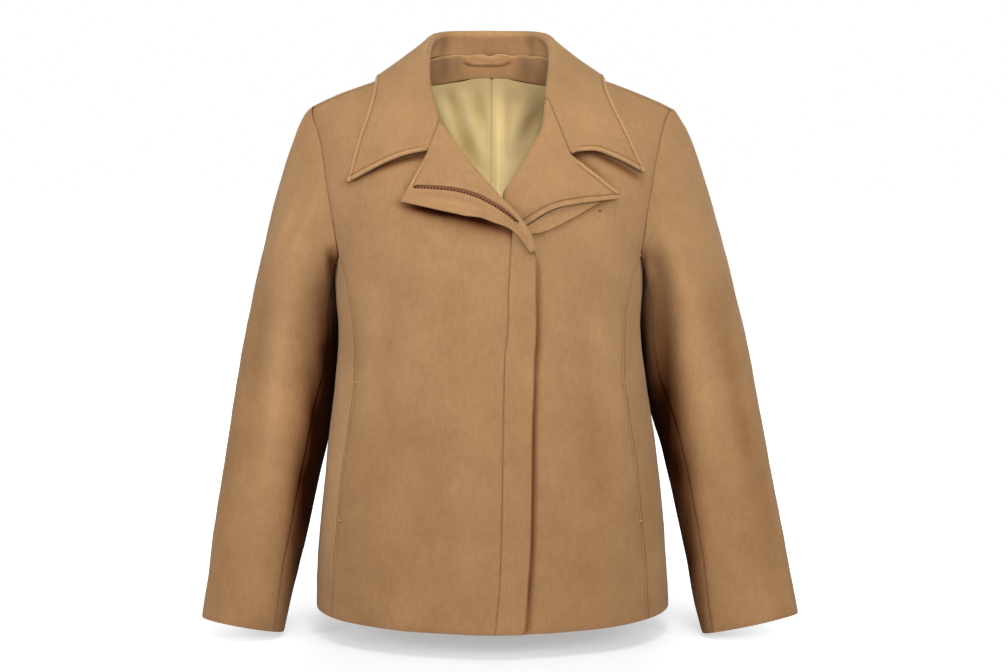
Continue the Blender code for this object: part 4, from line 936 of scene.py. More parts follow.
def slantOf(grid, first):  # how much longer a row's way in from a border is than the straight one
    border, inner = (grid[:, 0], grid[:, 1]) if first else (grid[:, -1], grid[:, -2])
    along, inward = unit(np.gradient(border, axis=0)), unit(inner - border)
    return 1 / np.clip(np.linalg.norm(np.cross(along, inward), axis=-1), 0.45, 1)


def setOut(grid, marks, step, rounds):  # even columns between marks, closer together by both borders
    points = grid[..., :3]
    run = runOf(points)
    slants = slantOf(points, True), slantOf(points, False)
    places = []
    for number, (a, b) in enumerate(zip(marks, marks[1:])):
        start, end = run[:, a], run[:, b]
        near = nearBorder[nearBorder < max(np.median(end - start) * 0.4, 0.0012)]
        high = None
        if number == 0:
            room = np.append(cloth["hairline"], near + rounds[0])
            shrink = np.minimum(1, (end - start) * 0.45 / (room[-1] * slants[0]))
            places.append(start[:, None] + room * (slants[0] * shrink)[:, None])
            start = places[-1][:, -1]
        else:
            places.append(start[:, None])
        if number == len(marks) - 2:
            room = np.append(cloth["hairline"], near + rounds[1])
            shrink = np.minimum(1, (end - start) * 0.45 / (room[-1] * slants[1]))
            high = (end[:, None] - room * (slants[1] * shrink)[:, None])[:, ::-1]
            end = high[:, 0]
        count = max(int(round(np.median(end - start) / step)), 1)
        places.append(start[:, None] + (end - start)[:, None] * np.linspace(0, 1, count + 1)[1:-1])
    places = np.concatenate(places + [high], 1)
    index = np.array([np.interp(place, row, np.arange(len(row))) for place, row in zip(places, run)])
    total = run[:, -1:]
    reach = np.stack([places / slants[0][:, None], (total - places) / slants[1][:, None]], -1)
    return between(grid, index), reach


def borderRelief(finish, reach, along):  # the way the outside falls and rises near a border
    relief = -finish["roll"] * np.exp(-((reach / finish["reach"]) ** 2))
    relief -= finish["groove"] * bump(reach, finish["place"], 0.001)
    relief += finish["full"] * bump(reach, finish["place"] * 0.5, finish["place"] * 0.3)
    waves = np.sin(along * (2 * pi / pucker["spacing"]) + pucker["wander"] * np.sin(along * pucker["wanderRate"]))
    waves = waves * np.exp(-((reach / pucker["reach"]) ** 2))
    return relief + waves * pucker["stitched" if finish["groove"] else "plain"] * (finish["roll"] > 0)


def paintedBorderShading(finish, reach):  # painted shade on a border's line and in its stitching groove, painted highlight on the fullness between
    width = borderShading["darkReach" if finish["line"] > 0 else "lightReach"]
    tone = -finish["line"] * np.exp(-((reach / width) ** 2))
    if finish["groove"]:
        full = bump(reach, finish["place"] * 0.5, finish["place"] * borderShading["fullWidth"])
        tone += borderShading["full"] * full - borderShading["groove"] * bump(reach, finish["place"],
                                                                      borderShading["grooveWidth"])
    return tone


def creaseRelief(chart, creases):  # soft folds laid along lines: height, half width, places
    relief = np.zeros(chart.shape[:2])
    for height, width, line in creases:
        line = np.array(line, float)
        line = follow(np.arange(len(line)), line, np.linspace(0, len(line) - 1, 10 * len(line)))
        best, where = np.full(relief.shape, 1e9), np.zeros(relief.shape)
        for number, (start, end) in enumerate(zip(line, line[1:])):
            way = end - start
            part = np.clip(((chart - start) @ way) / (way @ way), 0, 1)
            gap = np.linalg.norm(chart - start - part[..., None] * way, axis=-1)
            nearer = gap < best
            best = np.where(nearer, gap, best)
            where = np.where(nearer, (number + part) / (len(line) - 1), where)
        relief += height * np.sin(pi * np.clip(where, 0.02, 0.98)) ** 0.7 * np.exp(-((best / width) ** 2))
    return relief


def hollowTone(place, rows):  # the shade in a narrow gap, from rows of a height and tones by distance across
    across, height = np.abs(place[..., 0]), -place[..., 2]
    tones = np.stack([np.interp(across, *np.array(row).T) for _, row in rows])
    index = np.interp(height, [-z for z, _ in rows], np.arange(len(rows)))
    low = np.clip(index.astype(int), 0, len(rows) - 2)
    part = index - low
    return np.take_along_axis(tones, low[None], 0)[0] * (1 - part) + np.take_along_axis(tones, low[None] + 1,
        0)[0] * part


def quads(low, high):  # faces between equal rows of points
    return np.stack([low[..., :-1], low[..., 1:], high[..., 1:], high[..., :-1]], -1).reshape(-1, 4)


def makeMesh(name, points, faces, material):
    a, b, c, d = (points[faces[:, k]] for k in range(4))
    volume = (np.cross(c - a, d - b) * (a + b + c + d)).sum()
    if volume < 0:
        faces = faces[:, ::-1]
    data = bpy.data.meshes.new(name)
    data.from_pydata(points.tolist(), [], faces.tolist())
    data.shade_smooth()
    data.materials.append(material)
    return showObject(name, data)


# A border's finish, or the two it changes between at a height or a distance across
def finishOf(values, border, places):
    kind = values["borders"].get(border, "plain")
    if isinstance(kind, str):
        return [(finishes[kind], np.ones(places.shape[:2]))]
    low, high, place = kind
    along = places[..., 2] if place < 0 else np.abs(places[..., 0])
    weight = ease((along - place) / 0.006 + 0.5)
    return [(finishes[low], 1 - weight), (finishes[high], weight)]


def seamLine(outside, reach, place, clear):  # the line that lies a distance in from a border
    index = np.array([np.interp(place, row, np.arange(len(row))) for row in reach])[:, None]
    whole = np.concatenate([outside, clear[..., None]], -1)
    line = between(whole, index)[:, 0]
    kept = line[:, 6] > 0
    runs = np.split(np.arange(len(line)), np.flatnonzero(np.diff(kept.astype(int))) + 1)
    return [line[part] for part in runs if kept[part[0]] and len(part) > 3]


# A closed wall of cloth over a grid of places, inward ways and thicknesses
def makeCloth(name, grid, values, material):
    values = {**clothDefaults, **values}
    step, rounds = values["step"], {}
    for border in ("first", "last", "low", "high"):
        kind = values["borders"].get(border, "plain")
        rounds[border] = finishes[kind if isinstance(kind, str) else kind[1]]["round"]
    marks = values.get("marks", (0, grid.shape[1] - 1))
    across, acrossReach = setOut(grid, marks, step, (rounds["first"], rounds["last"]))
    whole = np.concatenate([across, acrossReach], -1).transpose(1, 0, 2)
    marks = values.get("rowMarks", (0, whole.shape[1] - 1))
    whole, upReach = setOut(whole, marks, step, (rounds["low"], rounds["high"]))
    whole, upReach = whole.transpose(1, 0, 2), upReach.transpose(1, 0, 2)
    place, inward, depth = whole[..., :3], unit(whole[..., 3:6]), whole[..., 6:7]
    reaches = {"first": whole[..., -2], "last": whole[..., -1], "low": upReach[..., 0], "high": upReach[..., 1]}
    rowRun, columnRun = runOf(place), runOf(place.transpose(1, 0, 2)).T
    alongs = {"first": columnRun, "last": columnRun, "low": rowRun, "high": rowRun}

    chart = np.stack([whole[..., 7] * values["chart"], place[..., 2]], -1) if "chart" in values else place[...,
        (0, 2)]
    shape = creaseRelief(chart, values.get("creases", ()))
    edgeFade = ease(np.minimum.reduce(list(reaches.values())) / creaseMargin)
    shape = shape * edgeFade + softNoise(place, swaySize, 3) * values["sway"]
    shape += softNoise(place, rippleSize, 4) * values["ripple"]
    # painted shading of the folds: lighter on their ridges, darker in their troughs
    finish, tone = np.zeros(shape.shape), shape * (-1 if values["faces"] == "in" else 1) * values["creaseShading"]
    # painted shade along lines, and painted light where a value is above zero
    shades = creaseRelief(chart, values.get("shades", ()))
    if values.get("shadesSide") == "front":  # not on what faces back, which has the same places
        shades = shades * ease((inward[..., 1] + 0.15) / 0.3)
    tone += shades + softNoise(place, patchSize, 6) * patchTone
    for border, reach in reaches.items():
        for kind, weight in finishOf(values, border, place):
            finish += weight * borderRelief(kind, reach, alongs[border])
            tone += weight * paintedBorderShading(kind, reach)
    # painted shade, darker towards the hem
    tone -= values["hemShade"] * ease(-(place[..., 2] - hemShadeTop) / hemShadeDepth)
    # painted shade in the gap between sleeve and body
    if "hollow" in values:
        tone += hollowTone(place, values["hollow"])
    finish = np.maximum(finish, deepestFinish)
    outShare, inShare = {"out": (1, 0), "both": (1, 0.7), "in": (0, 1)}[values["faces"]]
    outside = place - inward * (shape + finish * outShare)[..., None]
    insideFace = place + inward * (depth + (finish * inShare - shape)[..., None])

    normal = unit(np.cross(np.gradient(outside, axis=1), np.gradient(outside, axis=0)))
    normal *= np.sign(-(normal * inward).sum(-1, keepdims=True))
    for border, reach in reaches.items():
        kinds = finishOf(values, border, place)
        if max(kind["groove"] for kind, _ in kinds) == 0:
            continue
        clear = np.ones(shape.shape)
        for other, room in reaches.items():
            if other != border:
                grooved = max(kind["groove"] for kind, _ in finishOf(values, other, place))
                clear = np.minimum(clear, room - (0.005 if grooved else 0.0013))
        for kind, weight in kinds:
            clear = np.where((weight > 0.5) & (kind["groove"] == 0), -1, clear)
        distance = next(kind["place"] for kind, _ in kinds if kind["groove"])
        outer, room = np.concatenate([outside, normal], -1), reach
        if border in ("low", "high"):
            outer, room, clear = outer.transpose(1, 0, 2), reach.T, clear.T
        if border in ("last", "high"):
            outer, room, clear = outer[:, ::-1], room[:, ::-1], clear[:, ::-1]
        stitching.extend(seamLine(outer, room, distance, clear))

    rows, columns = shape.shape[0] - 2, shape.shape[1] - 2
    number = np.arange(rows * columns).reshape(rows, columns)
    flatOut, flatIn = (face[1:-1, 1:-1].reshape(-1, 3) for face in (outside, insideFace))
    ring = np.concatenate([number[0], number[1:, -1], number[-1, -2::-1], number[-2:0:-1, 0]])
    brink = (outside + insideFace) / 2
    brink = np.concatenate([
        brink[0, :1], brink[0, 2:-2], brink[0, -1:], brink[2:-2, -1],
        brink[-1, -1:], brink[-1, -3:1:-1], brink[-1, :1], brink[-3:1:-1, 0],
    ])
    middle, half = (flatOut[ring] + flatIn[ring]) / 2, (flatOut[ring] - flatIn[ring]) / 2
    points, faces = [flatOut, flatIn], [quads(number[:-1], number[1:])]
    faces.append(faces[0][:, ::-1] + rows * columns)
    bands = [ring]
    for turn in np.radians((22, 45, 68, 90, 112, 135, 158)):
        bands.append(np.arange(len(ring)) + 2 * rows * columns + len(ring) * (len(bands) - 1))
        points.append(middle + half * cos(turn) + (brink - middle) * sin(turn))
    bands.append(ring + rows * columns)
    for low, high in zip(bands, bands[1:]):
        low, high = np.append(low, low[0]), np.append(high, high[0])
        faces.append(quads(low, high)[:, ::-1])
    points, faces = np.concatenate(points), np.concatenate(faces)
    piece = makeMesh(name, points, faces, material)
    # the painted shading at each point, with the random tone, for the material
    flatTone = tone[1:-1, 1:-1].ravel()
    tones = np.concatenate([flatTone, flatTone] + [flatTone[ring]] * (len(bands) - 2))
    piece.data.attributes.new("napAndPaintedShading", "FLOAT", "POINT").data.foreach_set("value", np.clip(tones, *shadingLimits))
    area = np.linalg.norm(np.cross(place[1:, 1:] - place[:-1, :-1], place[1:, :-1] - place[:-1, 1:]),
                          axis=-1).sum() / 2
    width, length = rowRun[:, -1].max() + 2 * cloth["hairline"], columnRun[-1].max() + 2 * cloth["hairline"]
    print(f"{name}: {len(faces) * 2} triangles, cut {width:.4f} x {length:.4f}, area {area:.5f}")
    coat.append((piece, values, width, length, area))
    return piece


# A panel between two seams, closely
def panelGrid(low, high, left, right, thick=cloth["wool"], lift=None, under=0.0):
    level = np.linspace(low, high, 260)
    start, end = left(level)[:, None], right(level)[:, None]
    turn = start + (end - start) * np.linspace(0, 1, 91)
    level = np.broadcast_to(level[:, None], turn.shape)
    point = bodyPoint(turn, level)
    height = -under if lift is None else lift(point[..., 0], point[..., 2]) - under
    return gridOf(onBody(turn, level, height), -bodyNormal(turn, level), thick, turn)


def gridOf(places, inward, thick, turn=0.0):
    thick, turn = np.broadcast_to(thick, places.shape[:2]), np.broadcast_to(turn, places.shape[:2])
    return np.concatenate([places, inward, thick[..., None], turn[..., None]], -1)


# Cloth about a grid that faces away from the body; ends share a seam's directions
def middleGrid(grid, thick, ends=()):
    side = unit(np.cross(np.gradient(grid, axis=1), np.gradient(grid, axis=0)))
    if (side[:, -2:] * grid[:, -2:] * np.array((1, 1, 0))).sum() < 0:
        side = -side
    for row, column, directions in ends:
        part = grid[:, column : column + len(directions)]
        away = np.abs(runOf(part.transpose(1, 0, 2)).T - (runOf(part.transpose(1, 0, 2)).T[-1] if row else 0))
        weight = np.exp(-((away / 0.006) ** 2))[..., None]
        own = side[:, column : column + len(directions)]
        side[:, column : column + len(directions)] = unit(own * (1 - weight) + directions[None] * weight)
    thick = np.broadcast_to(thick, grid.shape[:2])
    return gridOf(grid + side * thick[..., None] / 2, -side, thick)


# Body
armStart = float(levelAt(seams["armholeFront"][-1][1], seams["armholeFront"][-1][0], 1))
frontArm = {side: armTurns(side, 1) for side in (-1, 1)}
backArm = {side: armTurns(side, -1) for side in (-1, 1)}
princessTurn = {side: seamTurns(seams["princess"], 1, side) for side in (-1, 1)}

frontRight = {
    "node": "front_right", "step": 0.0028,
    "borders": {"first": ("stitchedSeam", "armhole", -0.234), "last": "faint", "low": "hem", "high": "seam"},
    "creases": (
        (0.0016, 0.013, ((-0.128, -0.25), (-0.136, -0.34), (-0.142, -0.45))),
        (-0.001, 0.012, ((-0.104, -0.262), (-0.112, -0.35), (-0.116, -0.43))),
        (-0.0008, 0.02, ((-0.06, -0.33), (-0.068, -0.44), (-0.064, -0.56))),
    ),
    # painted shadows under the fly band's lower edge, under the collar's lower edge and beside the notch
    "shades": (
        (-0.8, 0.0062, ((-0.1, -0.164), (-0.074, -0.169), (-0.051, -0.1735), (-0.025, -0.179), (0.0, -0.1848),
                         (0.0215, -0.1935), (0.0345, -0.2065), (0.04, -0.216))),
        (-0.55, 0.005, ((-0.102, -0.164), (-0.084, -0.168), (-0.064, -0.1722), (-0.04, -0.1765))),
        (-0.3, 0.01, ((-0.08, -0.173), (-0.051, -0.18), (-0.025, -0.186), (0.0, -0.192), (0.018, -0.201))),
        (-0.75, 0.0042, ((-0.166, -0.1455), (-0.15, -0.138), (-0.12, -0.125), (-0.087, -0.115), (-0.062, -0.11),
                         (-0.03, -0.104))),
        (-0.45, 0.0045, ((-0.05, -0.095), (-0.064, -0.112), (-0.071, -0.128), (-0.085, -0.144), (-0.095, -0.16))),
    ),
}
rightInner = frontInner(-1, seams["flySeam"])
grid = panelGrid(-1, shoulderLevel, frontOuter(-1), rightInner, lift=overlapLift)
makeCloth("frontRight", grid, frontRight, wool)

frontLeft = {
    "node": "front_left", "step": 0.0034,
    "borders": {"first": "seam", "last": ("stitchedSeam", "armhole", -0.234), "low": "hem", "high": "seam"},
    "creases": (
        (0.0022, 0.01, ((0.112, -0.272), (0.124, -0.318), (0.14, -0.362))),
        (0.0016, 0.009, ((0.13, -0.262), (0.142, -0.31), (0.152, -0.356))),
        (0.0016, 0.016, ((0.134, -0.196), (0.144, -0.23), (0.15, -0.262))),
        (-0.0012, 0.012, ((0.1, -0.3), (0.112, -0.38), (0.122, -0.45))),
        (0.0012, 0.016, ((0.134, -0.34), (0.146, -0.42), (0.152, -0.48))),
    ),
    # painted shadows under the collar's edge and the lower edges of lapel and guard, and beside the right front's
    # edge
    "shades": (
        (-0.75, 0.0045, ((0.06, -0.107), (0.091, -0.111), (0.111, -0.109), (0.134, -0.119), (0.158, -0.132),
                         (0.17, -0.1395))),
        (-0.35, 0.0045, ((0.07, -0.1), (0.096, -0.116), (0.117, -0.132), (0.14, -0.152))),
        (-0.62, 0.0042, [(x + 0.001, z) for z, x in seams["frontEdge"]]),
        (-0.6, 0.0045, ((0.14, -0.16), (0.122, -0.164), (0.104, -0.17), (0.084, -0.178), (0.06, -0.19),
                        (0.044, -0.204))),
    ),
}
underEdge = [(body["hem"], fronts["underlap"]), (-0.4, fronts["underlap"]), (-0.199, fronts["underlap"])]
makeCloth("frontLeft", panelGrid(-1, shoulderLevel, frontInner(1, underEdge), frontOuter(1)), frontLeft, wool)

placket = {
    "node": "front_placket_right",
    "borders": {"first": "faint", "last": "lap", "low": "hem", "high": "plain"},
    "creases": ((0.001, 0.006, ((0.052, -0.196), (0.05, -0.206), (0.048, -0.222))),),
    "sway": 0.0003,
}
foldEnd = [(z, x) for z, x in panelEnd(-1) if z < seams["flySeam"][0][0] + 0.006]
placketTop = float(levelAt(0.028, seams["flySeam"][0][0], 1))
placketSeams = seamTurns(seams["flySeam"], 1, 1), seamTurns(list(seams["frontEdge"]) + foldEnd, 1, 1)
makeCloth("placket", panelGrid(-1, placketTop, *placketSeams, lift=overlapLift), placket, wool)

sideFronts = {
    -1: {"name": "sideFrontRight", "node": "side_front_right",
         "creases": ((-0.001, 0.012, ((-0.174, -0.3), (-0.18, -0.4), (-0.186, -0.5))),),
         # painted light over the side front
         "shades": ((0.26, 0.04, ((-0.172, -0.34), (-0.186, -0.45), (-0.194, -0.58))),)},
    1: {"name": "sideFrontLeft", "node": "side_front_left",
        "creases": ((-0.0012, 0.012, ((0.172, -0.29), (0.18, -0.38), (0.186, -0.47))),)},
}
for side, values in sideFronts.items():
    values["borders"] = {"first": "seam", "last": "seam", "low": "hem", "high": "armhole"}
    topLevel = underArm(side, np.linspace(0, 1, 61)[None, :])[1]
    level = -1 + np.linspace(0, 1, 200)[:, None] * (1 + topLevel)
    start = princessTurn[side](level)
    turn = start + (side * pi / 2 - start) * np.linspace(0, 1, 61)
    grid = gridOf(bodyPoint(turn, level), -bodyNormal(turn, level), cloth["wool"], turn)
    makeCloth(values["name"], grid, values, wool)

backs = {
    -1: {
        "name": "backRight", "node": "back_right",
        "creases": (
            (-0.0022, 0.016, ((-0.172, -0.19), (-0.14, -0.205), (-0.105, -0.21))),
            (0.0016, 0.018, ((-0.09, -0.3), (-0.1, -0.4), (-0.096, -0.52))),
            (-0.0014, 0.016, ((-0.135, -0.33), (-0.142, -0.43), (-0.138, -0.54))),
        ),
    },
    1: {
        "name": "backLeft", "node": "back_left",
        "creases": (
            (-0.002, 0.015, ((0.17, -0.205), (0.142, -0.222), (0.112, -0.226))),
            (0.0015, 0.017, ((0.08, -0.32), (0.088, -0.41), (0.094, -0.5))),
            (-0.0015, 0.015, ((0.126, -0.3), (0.134, -0.39), (0.14, -0.47))),
        ),
    },
}
for side, values in backs.items():
    values["borders"] = {"first": ("seam", "armhole", -0.236), "last": "seam", "low": "hem", "high": "seam"}
    neckLevel, neckTurn = neckTurns(side, -1)
    neckTurn = np.abs(np.where(neckTurn * side < 0, neckTurn + side * 2 * pi, neckTurn))
    neckTurn[0] = pi
    corner = float(turnAt(side * seams["neckSide"], shoulderLevel, -1)) * side % (2 * pi)
    levels = np.concatenate([[-1], neckLevel, [2 - shoulderLevel]])
    turns = np.concatenate([[pi], neckTurn, [corner]])
    grid = panelGrid(-1, 2 - shoulderLevel, backArm[side], turnLine(levels, turns, side))
    makeCloth(values["name"], grid, values, wool)
print("body made")

# Lapels
turnedCloth = {"thick": cloth["turned"], "faces": "both", "step": 0.0028, "sway": 0.0003, "ripple": 0.00012}


def lapelGrid(place, near, share):
    face = lapelFace(place, near, share, clothSteps)
    fold = curl(place["apex"], place["direction"], place["outward"], place["radius"])
    tuck = fold[:, :1] + place["direction"][:, None] * lapels["tuck"]
    thick = foldThickness(place["radius"], len(clothSteps))
    thick = np.concatenate([thick[:, :1], thick], 1)
    seamOut = gorgeNormals(place, share, clothSteps[clothSteps <= share + 1e-6])
    return middleGrid(np.concatenate([tuck, fold, face], 1), thick, [(-1, 1, seamOut)])


rightPlace, leftPlace = lapelFrame(-1, lapelRows), lapelFrame(1, lapelRows)
slitUpper, slitLower = slit(rightPlace)
slitDown = unit(rightPlace["edge"] - rightPlace["middle"])

lapelRight = {
    **turnedCloth, "node": "lapel_right", "marks": (0, 1, len(bends), len(bends) + len(clothSteps)),
    "borders": {"low": "plain", "high": ("seam", "stitchedEdge", 0.073), "last": ("plain", "lip", -0.183)},
    "creases": ((0.001, 0.01, ((-0.03, -0.135), (-0.05, -0.128), (-0.072, -0.132))),),
    # a painted light band on the fold where the lapel runs into the front edge
    "shades": ((0.1, 0.006, ((0.026, -0.176), (0.036, -0.187), (0.044, -0.203), (0.049, -0.218))),),
}
makeCloth("lapelRight", lapelGrid(rightPlace, slitUpper, lapels["notchShare"][-1]), lapelRight, wool)

flyRight = {
    **turnedCloth, "node": "lapel_fly_right", "step": 0.0022,
    "borders": {"first": ("plain", "lip", -0.183), "last": "edge", "low": "plain", "high": "edge"},
    "creases": (
        (0.002, 0.0045, ((-0.088, -0.158), (-0.06, -0.161), (-0.03, -0.166), (0.0, -0.175), (0.022, -0.188))),
        (0.001, 0.004, ((-0.012, -0.181), (-0.008, -0.174), (-0.006, -0.168))),
        (-0.0008, 0.0035, ((0.0, -0.184), (0.004, -0.178), (0.006, -0.172))),
    ),
    # a painted highlight along the band's lower edge and a faint painted shade above it
    "shades": (
        (0.12, 0.0035, ((-0.09, -0.16), (-0.062, -0.164), (-0.034, -0.17), (-0.01, -0.178), (0.016, -0.19),
                        (0.034, -0.206))),
        (-0.1, 0.003, ((-0.084, -0.153), (-0.05, -0.156), (-0.02, -0.162), (0.004, -0.172))),
    ),
    "sag": ((0, 0.0), (20, 0.0008), (34, 0.0022), (44, 0.0032), (54, 0.002), (64, 0.0042), (78, 0.0034), (92, 0.002),
            (112, 0.0)),
}
flySag = np.interp(np.arange(len(slitLower)), *np.array(flyRight["sag"]).T)
flyEdge = rightPlace["edge"] - flySag[:, None] * np.array((0, 1))
flyStrip = strip(slitLower, flyEdge, 31, rightPlace["middleLift"], rightPlace["edgeLift"])
makeCloth("flyRight", middleGrid(flyStrip, cloth["turned"]), flyRight, wool)

zipTape = {"node": "zip_tape_right", "thick": cloth["satin"], "faces": "both", "step": 0.0015, "sway": 0, "ripple": 0,
           "borders": {"low": "plain"}, "rows": (30, 108)}
tapeRows = slice(*zipTape["rows"])
tapeLift = rightPlace["middleLift"] - cloth["turned"] / 2 - 2 * cloth["seamGap"] - cloth["satin"] / 2
tapeUpper, tapeLower = slitUpper - slitDown * lapels["tapeAbove"], slitLower + slitDown * lapels["tapeBelow"]
tapeStrip = strip(tapeUpper[tapeRows], tapeLower[tapeRows], 15, tapeLift[tapeRows], tapeLift[tapeRows])
makeCloth("zipTape", middleGrid(tapeStrip, cloth["satin"]), zipTape, tape)

lapelLeft = {
    **turnedCloth, "node": "lapel_left", "marks": (0, 1, len(bends), len(bends) + len(clothSteps)),
    "borders": {"low": "edge", "high": ("seam", "stitchedEdge", 0.096), "last": "faint"},
    "creases": ((0.001, 0.012, ((0.06, -0.125), (0.082, -0.138), (0.104, -0.15))),),
}
makeCloth("lapelLeft", lapelGrid(leftPlace, leftPlace["middle"], lapels["notchShare"][1]), lapelLeft, wool)

zipEdge = {
    "node": "zip_edge_left", "faces": "both", "step": 0.0016, "sway": 0.0002, "ripple": 0.0001,
    "borders": {"first": "faint", "last": "edge", "low": "edge", "high": "edge"},
    "creases": ((-0.0007, 0.001, ((0.04, -0.181), (0.062, -0.171), (0.09, -0.1625), (0.125, -0.159))),),
}
edgeUpper = leftPlace["middle"] + unit(leftPlace["edge"] - leftPlace["middle"]) * cloth["hairline"]
edgeStrip = strip(edgeUpper, leftPlace["edge"], 21, leftPlace["middleLift"], leftPlace["edgeLift"])
makeCloth("zipEdge", middleGrid(edgeStrip, cloth["wool"]), zipEdge, wool)

flyGuard = {
    "node": "fly_guard_left", "faces": "both", "step": 0.0025, "sway": 0.0002,
    "borders": {"first": "plain", "last": "edge", "low": "plain", "high": "plain"},
    "bow": 0.0016,
}
guardPlaces = np.linspace(0, len(lapels["flyGuard"]) - 1, 61)
guardUpper, guardLower = (
    follow(np.arange(len(lapels["flyGuard"])), np.array(column), guardPlaces) for column in zip(*lapels["flyGuard"])
)
guardLift = np.full(len(guardPlaces), cloth["wool"] / 2 + lapels["guardLift"])
guardLow = guardLift + flyGuard["bow"] * np.sin(pi * np.linspace(0.02, 0.98, len(guardPlaces)))
guardStrip = strip(guardUpper, guardLower, 31, guardLift, guardLow)
makeCloth("flyGuard", middleGrid(guardStrip, cloth["wool"]), flyGuard, wool)

# Collar
collarCloth = {
    **turnedCloth, "node": "collar", "step": 0.003, "shadesSide": "front", "evening": 30, "nape": 9,
    "borders": {"first": "faint", "last": "stitchedEdge", "low": ("seam", "stitchedEdge", 0.075),
                "high": ("seam", "stitchedEdge", 0.098)},
    "creases": (
        (0.0012, 0.014, ((-0.086, -0.045), (-0.108, -0.07), (-0.12, -0.095))),
        (0.001, 0.012, ((0.09, -0.05), (0.112, -0.072), (0.128, -0.098))),
    ),
    # painted light across the back of the stand, painted shade in the folds at the sides of the neck
    "shades": (
        (0.26, 0.03, ((-0.06, 0.012), (0.0, 0.014), (0.06, 0.012))),
        (-0.34, 0.006, ((-0.05, 0.026), (-0.053, 0.014), (-0.056, -0.004))),
        (-0.3, 0.006, ((0.044, 0.026), (0.047, 0.014), (0.05, -0.004))),
    ),
}
rightHalf, rightRadius, rightOut = collarHalf(-1)
leftHalf, leftRadius, leftOut = collarHalf(1)
whole = np.concatenate([rightHalf[::-1], leftHalf[1:]])
evened = whole.copy()
for step in range(collarCloth["evening"]):
    evened[1:-1] = (evened[:-2] + 2 * evened[1:-1] + evened[2:]) / 4
napeShare = np.exp(-(((np.arange(len(whole)) - len(rightHalf) + 1) / collarCloth["nape"]) ** 2))[:, None, None]
whole = whole * (1 - napeShare) + evened * napeShare
radius = np.concatenate([rightRadius[::-1], leftRadius[1:]])
thick = foldThickness(radius, len(clothSteps))
stand = whole.shape[1] - thick.shape[1]
thick = np.concatenate([np.repeat(thick[:, :1], stand, 1), thick], 1)
collarCloth["marks"] = (0, stand, stand + len(bends) - 1, whole.shape[1] - 1)
makeCloth("coatCollar", middleGrid(whole, thick, [(0, stand, rightOut), (-1, stand, leftOut)]), collarCloth, wool)
print("collar and lapels made")

# Sleeves
# Painted shade on the sleeves' inner sides, deepest next to the body: rows of height, then tones by distance across
sleeveGapShade = {
    -1: (
        (-0.21, ((0.18, 0), (0.2, 0))),
        (-0.2308, ((0.176, -0.75), (0.18, -0.8), (0.184, -0.5), (0.188, -0.05), (0.2, 0))),
        (-0.2777, ((0.178, -0.72), (0.182, -0.77), (0.186, -0.6), (0.19, -0.42), (0.195, -0.28), (0.2, -0.12),
                   (0.206, 0))),
        (-0.3365, ((0.18, -0.95), (0.187, -0.91), (0.192, -0.81), (0.195, -0.66), (0.199, -0.4), (0.204, -0.2),
                   (0.209, -0.12), (0.218, 0))),
        (-0.4185, ((0.188, -0.93), (0.202, -0.89), (0.206, -0.85), (0.21, -0.58), (0.214, -0.36), (0.219, -0.18),
                   (0.223, -0.08), (0.23, 0))),
        (-0.487, ((0.202, -0.88), (0.211, -0.88), (0.215, -0.8), (0.219, -0.7), (0.224, -0.46), (0.229, -0.2),
                  (0.236, 0))),
        (-0.583, ((0.222, -0.8), (0.227, -0.68), (0.231, -0.45), (0.236, -0.2), (0.244, 0))),
        (-0.66, ((0.232, -0.6), (0.24, -0.3), (0.25, 0))),
    ),
    1: (
        (-0.21, ((0.18, 0), (0.2, 0))),
        (-0.2308, ((0.175, -0.6), (0.18, -0.2), (0.184, -0.08), (0.188, -0.1), (0.192, -0.16), (0.197, -0.16),
                   (0.202, -0.1), (0.206, -0.03), (0.211, 0))),
        (-0.2777, ((0.178, -0.6), (0.182, -0.15), (0.19, -0.05), (0.194, -0.15), (0.199, -0.28), (0.203, -0.26),
                   (0.208, -0.16), (0.212, -0.05), (0.218, 0))),
        (-0.3365, ((0.179, -0.9), (0.183, -0.62), (0.187, -0.44), (0.194, -0.4), (0.2, -0.52), (0.205, -0.62),
                   (0.209, -0.5), (0.214, -0.34), (0.218, -0.12), (0.223, 0))),
        (-0.4185, ((0.194, -0.94), (0.202, -0.93), (0.207, -0.91), (0.211, -0.76), (0.215, -0.69), (0.22, -0.45),
                   (0.224, -0.27), (0.229, -0.1), (0.235, 0))),
        (-0.487, ((0.212, -0.78), (0.216, -0.8), (0.22, -0.72), (0.225, -0.55), (0.229, -0.46), (0.234, -0.25),
                  (0.241, -0.05), (0.246, 0))),
        (-0.583, ((0.232, -0.72), (0.238, -0.45), (0.244, -0.2), (0.252, 0))),
        (-0.66, ((0.244, -0.6), (0.25, -0.3), (0.26, 0))),
    ),
}
